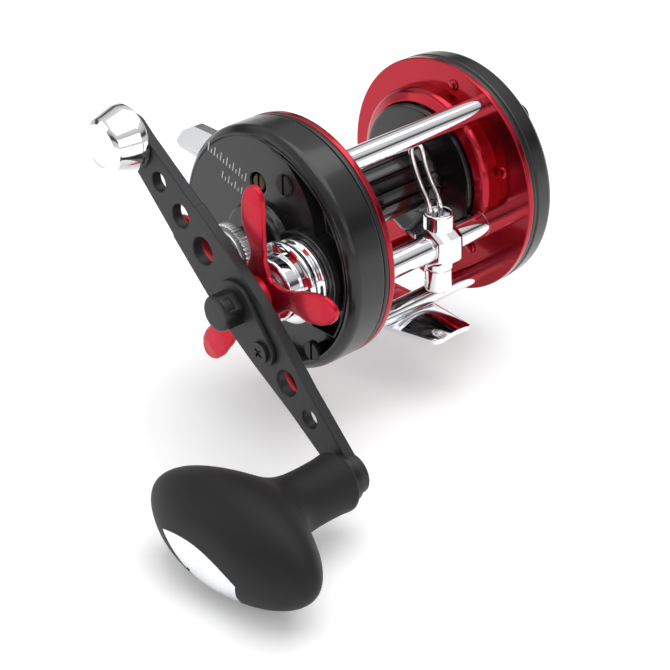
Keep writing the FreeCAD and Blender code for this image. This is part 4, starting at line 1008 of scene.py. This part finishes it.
def lock_plate(face):
    thick = high("nut_lock_plate").x
    fore = [along_arm(12 + 3.7 * math.cos(a), 3.7 * math.sin(a))
            for a in [math.radians(-70 + 140 * k / 20) for k in range(21)]]
    aft = [along_arm(6.2 * math.cos(a), 6.2 * math.sin(a)) for a in [math.radians(80 + 200 * k / 28)
                                                                     for k in range(29)]]
    settle(plate([fore + aft, circle(along_arm(12), 1.05, 32)], face, thick, 0.25), "nut_lock_plate",
           "nut_lock_plate")


def nut(face):
    name = "handle_nut"
    right = high(name).x
    tilt = math.atan2(ALONG.y, ALONG.x)
    corner = 3.9 / math.cos(math.pi / 6)
    hexagon = [(DRIVE.x + corner * math.cos(tilt + k * math.pi / 3), DRIVE.y
                + corner * math.sin(tilt + k * math.pi / 3))
               for k in range(6)]
    base = plate([rounded(hexagon, 0.35, steps=3)], face + 0.02, right - 1.0, 0.25)
    cap = [(face + 3.4, 0), (face + 3.4, 4.15), (face + 3.8, 4.25), (right - 0.5, 4.25),
           (right - 0.12, 3.9), (right, 3.4), (right, 0)]
    settle(joined(base, lathe(rounded(cap, [0, 0.1, 0.1, 0.3, 0.2, 0.3, 0]), DRIVE, 96)), name, name)


class REEL_OT_counterweight(bpy.types.Operator):
    """Build the chromed counterweight."""
    bl_idname = "reel.counterweight"
    bl_label = "Counterweight"

    def execute(self, context):
        left, right = low("counterweight").x, high("counterweight").x
        outline = [(left, 0), (left, 7.4), (left + 0.5, 8.0), (left + 2.0, 7.95), (right - 0.9, 6.3),
                   (right, 5.2),
                   (right - 0.25, 4.6), (right - 0.35, 0)]
        settle(lathe(rounded(outline, [0, 0.3, 0.4, 0.6, 0.5, 0.4, 0.3, 0], steps=6), WEIGHT, 128),
               "counterweight",
               "counterweight")
        return {"FINISHED"}


class REEL_OT_knob(bpy.types.Operator):
    """Build the soft knob and the badge let into its end."""
    bl_idname = "reel.knob"
    bl_label = "Knob"

    def execute(self, context):
        start, end = FACE_X + 2.0, high("handle_knob").x - 0.12
        sections = [(start, 6.2, 6.2), (start + 0.4, 6.8, 6.8), (start + 1.2, 7.0, 7.0),
                    (start + 4, 6.75, 6.75),
                    (start + 9, 6.7, 6.7), (start + 13, 7.0, 6.9), (start + 16, 8.1, 7.5),
                    (start + 18.5, 10.6, 8.5),
                    (start + 20.5, 14.2, 9.7), (start + 22.5, 18.0, 10.9), (start + 24.8, 21.6, 12.0),
                    (start + 27.2, 24.3, 12.8), (start + 29.4, 25.5, 13.0), (start + 31.6, 25.2, 12.8),
                    (start + 33.6, 23.4, 12.1),
                    (start + 35.4, 20.6, 10.9), (start + 37.0, 17.4, 9.3), (start + 38.2, 14.2, 7.7),
                    (end - 0.55, 11.6, 6.3),
                    (end - 0.2, 8.0, 4.4), (end, 3.0, 1.7)]
        around = 96
        tilt = math.radians(3.0)
        points, faces = [], []
        fine = smooth_sections(sections, 5)
        for x, long, short in fine:
            for step in range(around):
                angle = 2 * math.pi * step / around
                y, z = long * math.cos(angle), short * math.sin(angle)
                points.append((x, KNOB.x + y * math.cos(tilt) - z * math.sin(tilt), KNOB.y
                               + y * math.sin(tilt) + z * math.cos(tilt)))
        for index in range(len(fine) - 1):
            for step in range(around):
                after = (step + 1) % around
                a, b = index * around, (index + 1) * around
                faces.append((a + step, a + after, b + after, b + step))
        faces.append(tuple(range(around - 1, -1, -1)))
        faces.append(tuple((len(fine) - 1) * around + step for step in range(around)))
        settle(mesh_from(points, faces), "handle_knob", "handle_knob", smooth_angle=60, weighted=False)
        self.badge(fine, tilt)
        return {"FINISHED"}

    def badge(self, sections, tilt):
        """Pointed oval, square at one end, lying on the knob's end."""
        reach, half, square = 24.8, 4.9, 8.9
        turn = math.radians(-13)
        tip = -math.sqrt(reach ** 2 - (reach - half) ** 2)
        upper = []
        for step in range(41):
            along = tip + (square - tip) * step / 40
            upper.append((along, max(math.sqrt(reach ** 2 - along ** 2) - (reach - half), 0.0)))
        rise = upper[-1][1]
        loop = upper + [(square, rise - 2 * rise * step / 12) for step in range(1, 12)]
        loop += [(along, -height) for along, height in reversed(upper[1:])]
        centre = Vector((-1.8, 0))
        rings = [(step / 16, 0.0) for step in range(1, 16)] + [(0.975, 0.04), (1.0, 0.15), (1.0, 1.1)]
        points = [(0.0, 0.0, 0.0)]
        for scale, _ in rings:
            for place in loop:
                at = centre + (Vector(place) - centre) * scale
                points.append((at.x, at.y, 0.0))
        count = len(loop)
        placed = []
        for index, (along, rise, _) in enumerate(points):
            sink = rings[(index - 1) // count][1] if index else 0.0
            if not index:
                along, rise = centre
            y = 1.2 + along * math.cos(turn) - rise * math.sin(turn)
            z = -3.6 + along * math.sin(turn) + rise * math.cos(turn)
            placed.append((knob_surface(sections, tilt, y, z) + 0.10 - sink, KNOB.x + y, KNOB.y + z))
        faces = [(0, 1 + step, 1 + (step + 1) % count) for step in range(count)]
        for ring in range(len(rings) - 1):
            for step in range(count):
                a, b = 1 + ring * count, 1 + (ring + 1) * count
                after = (step + 1) % count
                faces.append((a + step, b + step, b + after, a + after))
        last = 1 + (len(rings) - 1) * count
        faces.append(tuple(last + step for step in range(count)))
        settle(mesh_from(placed, faces), "knob_badge", "knob_badge", smooth_angle=30)
        y, z = -4.5, -5.9
        out = knob_surface(sections, tilt, y, z)
        dot = lathe([(out - 0.6, 0), (out - 0.6, 0.45), (out + 0.15, 0.45), (out + 0.15, 0)],
                    (KNOB.x + y, KNOB.y + z), 24)
        settle(dot, "badge_pinhole", body="knob", slot="soft_black")


def knob_surface(sections, tilt, y, z):
    """How far out the knob's end reaches at a place across it."""
    long_at = y * math.cos(tilt) + z * math.sin(tilt)
    short_at = z * math.cos(tilt) - y * math.sin(tilt)
    reach = sections[-1][0]
    outer = sections[len(sections) * 13 // 20:]
    for first, second in zip(outer, outer[1:]):
        inside, outside = [(long_at / long) ** 2 + (short_at / short) ** 2 - 1 for _, long,
                           short in (first, second)]
        if inside <= 0 < outside:
            return first[0] + (second[0] - first[0]) * inside / (inside - outside)
    return reach


def smooth_sections(sections, steps):
    """Finer sections along a smooth curve through the given ones."""
    out = []
    for index in range(len(sections) - 1):
        before = sections[max(index - 1, 0)]
        first, second = sections[index], sections[index + 1]
        after = sections[min(index + 2, len(sections) - 1)]
        for step in range(steps):
            t = step / steps
            out.append(tuple(0.5 * (2 * b + (c - a) * t + (2 * a - 5 * b + 4 * c - d) * t * t
                                    + (3 * b - a - 3 * c + d) * t ** 3)
                             for a, b, c, d in zip(before, first, second, after)))
    out.append(sections[-1])
    return out


# --- free-spool lever ------------------------------------------------------------------------

class REEL_OT_free_spool_lever(bpy.types.Operator):
    """Build the wedge-shaped lever behind the handle-side cover."""
    bl_idname = "reel.free_spool_lever"
    bl_label = "Free-spool lever"

    def execute(self, context):
        left, right = low("free_spool_lever").x, high("free_spool_lever").x
        base = PLATE.y
        top, bottom = high("free_spool_lever").z, base + 13.2
        side = [(-23.6, top), (-32.0, top), (-35.0, top - 1.7), (-35.6, top - 4.1), (-34.3, bottom + 0.7),
                (-27.5, bottom), (-21.5, bottom), (-21.5, bottom + 2.6), (-23.6, bottom + 3.0)]
        wedge = plate([rounded(side, 0.35, steps=3)], left, right, 0.3)
        sliced(wedge, (right + 0.6, 0, base + 14.2), (5.4, 0, 3.6))
        leg = plate([[(-23.3, base + 4.0), (-13.8, base + 4.0), (-13.8, bottom + 2.5),
                      (-23.3, bottom + 2.5)]],
                    27.6, 28.8, 0.15)
        settle(joined(wedge, leg), "free_spool_lever", "free_spool_lever", material=lever_plate())
        return {"FINISHED"}


def sliced(mesh, place, outward):
    """Cut a closed mesh with a plane, drop what lies outward of it and close the cut."""
    shape = bmesh.new()
    shape.from_mesh(mesh)
    everything = shape.verts[:] + shape.edges[:] + shape.faces[:]
    cut = bmesh.ops.bisect_plane(shape, geom=everything, plane_co=Vector(place) * MM,
                                 plane_no=Vector(outward).normalized(), clear_outer=True)
    rim = [item for item in cut["geom_cut"] if isinstance(item, bmesh.types.BMEdge)]
    bmesh.ops.contextual_create(shape, geom=rim)
    bmesh.ops.recalc_face_normals(shape, faces=shape.faces)
    shape.to_mesh(mesh)
    shape.free()


# --- inner parts and stage -------------------------------------------------------------------

class REEL_OT_inner_parts(bpy.types.Operator):
    """Give every CAD node that still shows its own finish."""
    bl_idname = "reel.inner_parts"
    bl_label = "Inner parts"

    def execute(self, context):
        for name, node in frame["nodes"].items():
            node.data.materials.clear()
            node.data.materials.append(dull_brass()
                                       if name == "oil_port_screw" else SLOT_FINISH[NODE_SLOT[name]]())
        return {"FINISHED"}


class REEL_OT_stage(bpy.types.Operator):
    """Set the floor, the studio lights and the camera."""
    bl_idname = "reel.stage"
    bl_label = "Stage"

    def execute(self, context):
        floor()
        lights()
        camera()
        return {"FINISHED"}


def floor():
    lowest = CAD_BOX[0][2] - 0.0006
    size = 4.0
    points = [(-size, -size, 0), (size, -size, 0), (size, size, 0), (-size, size, 0)]
    mesh = bpy.data.meshes.new("floor")
    mesh.from_pydata([Vector((x, y, lowest)) for x, y, z in points], [], [(0, 1, 2, 3)])
    piece = bpy.data.objects.new("floor", mesh)
    bpy.context.scene.collection.objects.link(piece)
    mesh.materials.append(floor_paper())


def lamp(name, place, aim, size, power):
    data = bpy.data.lights.new(name, "AREA")
    data.shape = "RECTANGLE"
    data.size, data.size_y = size
    data.energy = power
    item = bpy.data.objects.new(name, data)
    item.location = place
    item.rotation_euler = (Vector(aim) - Vector(place)).to_track_quat("-Z", "Y").to_euler()
    bpy.context.scene.collection.objects.link(item)


def lights():
    centre = (0.01, 0, 0.02)
    lamp("overhead_softbox", (-0.1, 0.1, 0.9), centre, (1.1, 0.9), 6.0)
    lamp("left_softbox", (0.75, -0.55, 0.45), centre, (0.7, 0.7), 1.8)
    lamp("front_softbox", (0.25, 0.95, 0.35), centre, (0.8, 0.5), 1.3)
    studio_world()
    bpy.context.scene.view_settings.view_transform = "Standard"


def studio_world():
    """Pale walls and a bright ceiling with a dark band between them for plated pieces to show."""
    world = bpy.data.worlds.new("studio")
    world.use_nodes = True
    nodes, links = world.node_tree.nodes, world.node_tree.links
    place = nodes.new("ShaderNodeTexCoord")
    split = nodes.new("ShaderNodeSeparateXYZ")
    ramp = nodes.new("ShaderNodeValToRGB")
    stops = ramp.color_ramp.elements
    for index, (at, grey) in enumerate(((0.0, 0.85), (0.18, 0.80), (0.25, 0.08), (0.37, 0.10), (0.5, 0.7),
                                        (0.75, 1.0))):
        stop = stops[index] if index < 2 else stops.new(at)
        stop.position = at
        stop.color = (grey, grey, grey, 1)
    links.new(place.outputs["Generated"], split.inputs[0])
    links.new(split.outputs["Z"], ramp.inputs[0])
    links.new(ramp.outputs[0], nodes["Background"].inputs["Color"])
    nodes["Background"].inputs["Strength"].default_value = 0.75
    bpy.context.scene.world = world


def camera():
    place = Vector((0.29998, 0.31239, 0.24343))
    target = Vector((0.007438, -0.006815, -0.009792))
    roll = math.radians(-0.831)
    ahead = (target - place).normalized()
    right = ahead.cross(Vector((0, 0, 1))).normalized()
    up = right.cross(ahead)
    tilted = right * math.cos(roll) + up * math.sin(roll)
    raised = up * math.cos(roll) - right * math.sin(roll)
    data = bpy.data.cameras.new("camera")
    data.lens = 107.2
    data.sensor_width = 36.0
    item = bpy.data.objects.new("camera", data)
    turn = Matrix((tilted, raised, -ahead)).transposed().to_4x4()
    item.matrix_world = Matrix.Translation(place) @ turn
    bpy.context.scene.collection.objects.link(item)
    bpy.context.scene.camera = item


OPERATORS = (REEL_OT_side_plates, REEL_OT_pillars, REEL_OT_covers, REEL_OT_foot, REEL_OT_level_wind,
             REEL_OT_spool,
             REEL_OT_tension_cap, REEL_OT_bearing_sleeve, REEL_OT_star, REEL_OT_handle_arm,
             REEL_OT_counterweight,
             REEL_OT_knob, REEL_OT_free_spool_lever, REEL_OT_inner_parts, REEL_OT_stage)


class REEL_PT_pieces(bpy.types.Panel):
    """Lists the reel's pieces and finishes."""
    bl_label = "Reel"
    bl_idname = "REEL_PT_pieces"
    bl_space_type = "VIEW_3D"
    bl_region_type = "UI"
    bl_category = "Reel"

    def draw(self, context):
        for group in (context.scene.reel_shape, context.scene.reel_finish):
            for name in group.__annotations__:
                self.layout.prop(group, name)
        for operator in OPERATORS:
            self.layout.operator(operator.bl_idname)


CLASSES = (ReelFinish, ReelShape, *OPERATORS, REEL_PT_pieces)


def register():
    for item in CLASSES:
        bpy.utils.register_class(item)
    bpy.types.Scene.reel_finish = PointerProperty(type=ReelFinish)
    bpy.types.Scene.reel_shape = PointerProperty(type=ReelShape)


def unregister():
    del bpy.types.Scene.reel_shape
    del bpy.types.Scene.reel_finish
    for item in reversed(CLASSES):
        bpy.utils.unregister_class(item)


def main():
    register()
    for operator in OPERATORS:
        group, name = operator.bl_idname.split(".")
        getattr(getattr(bpy.ops, group), name)()


if __name__ == "__main__":
    main()
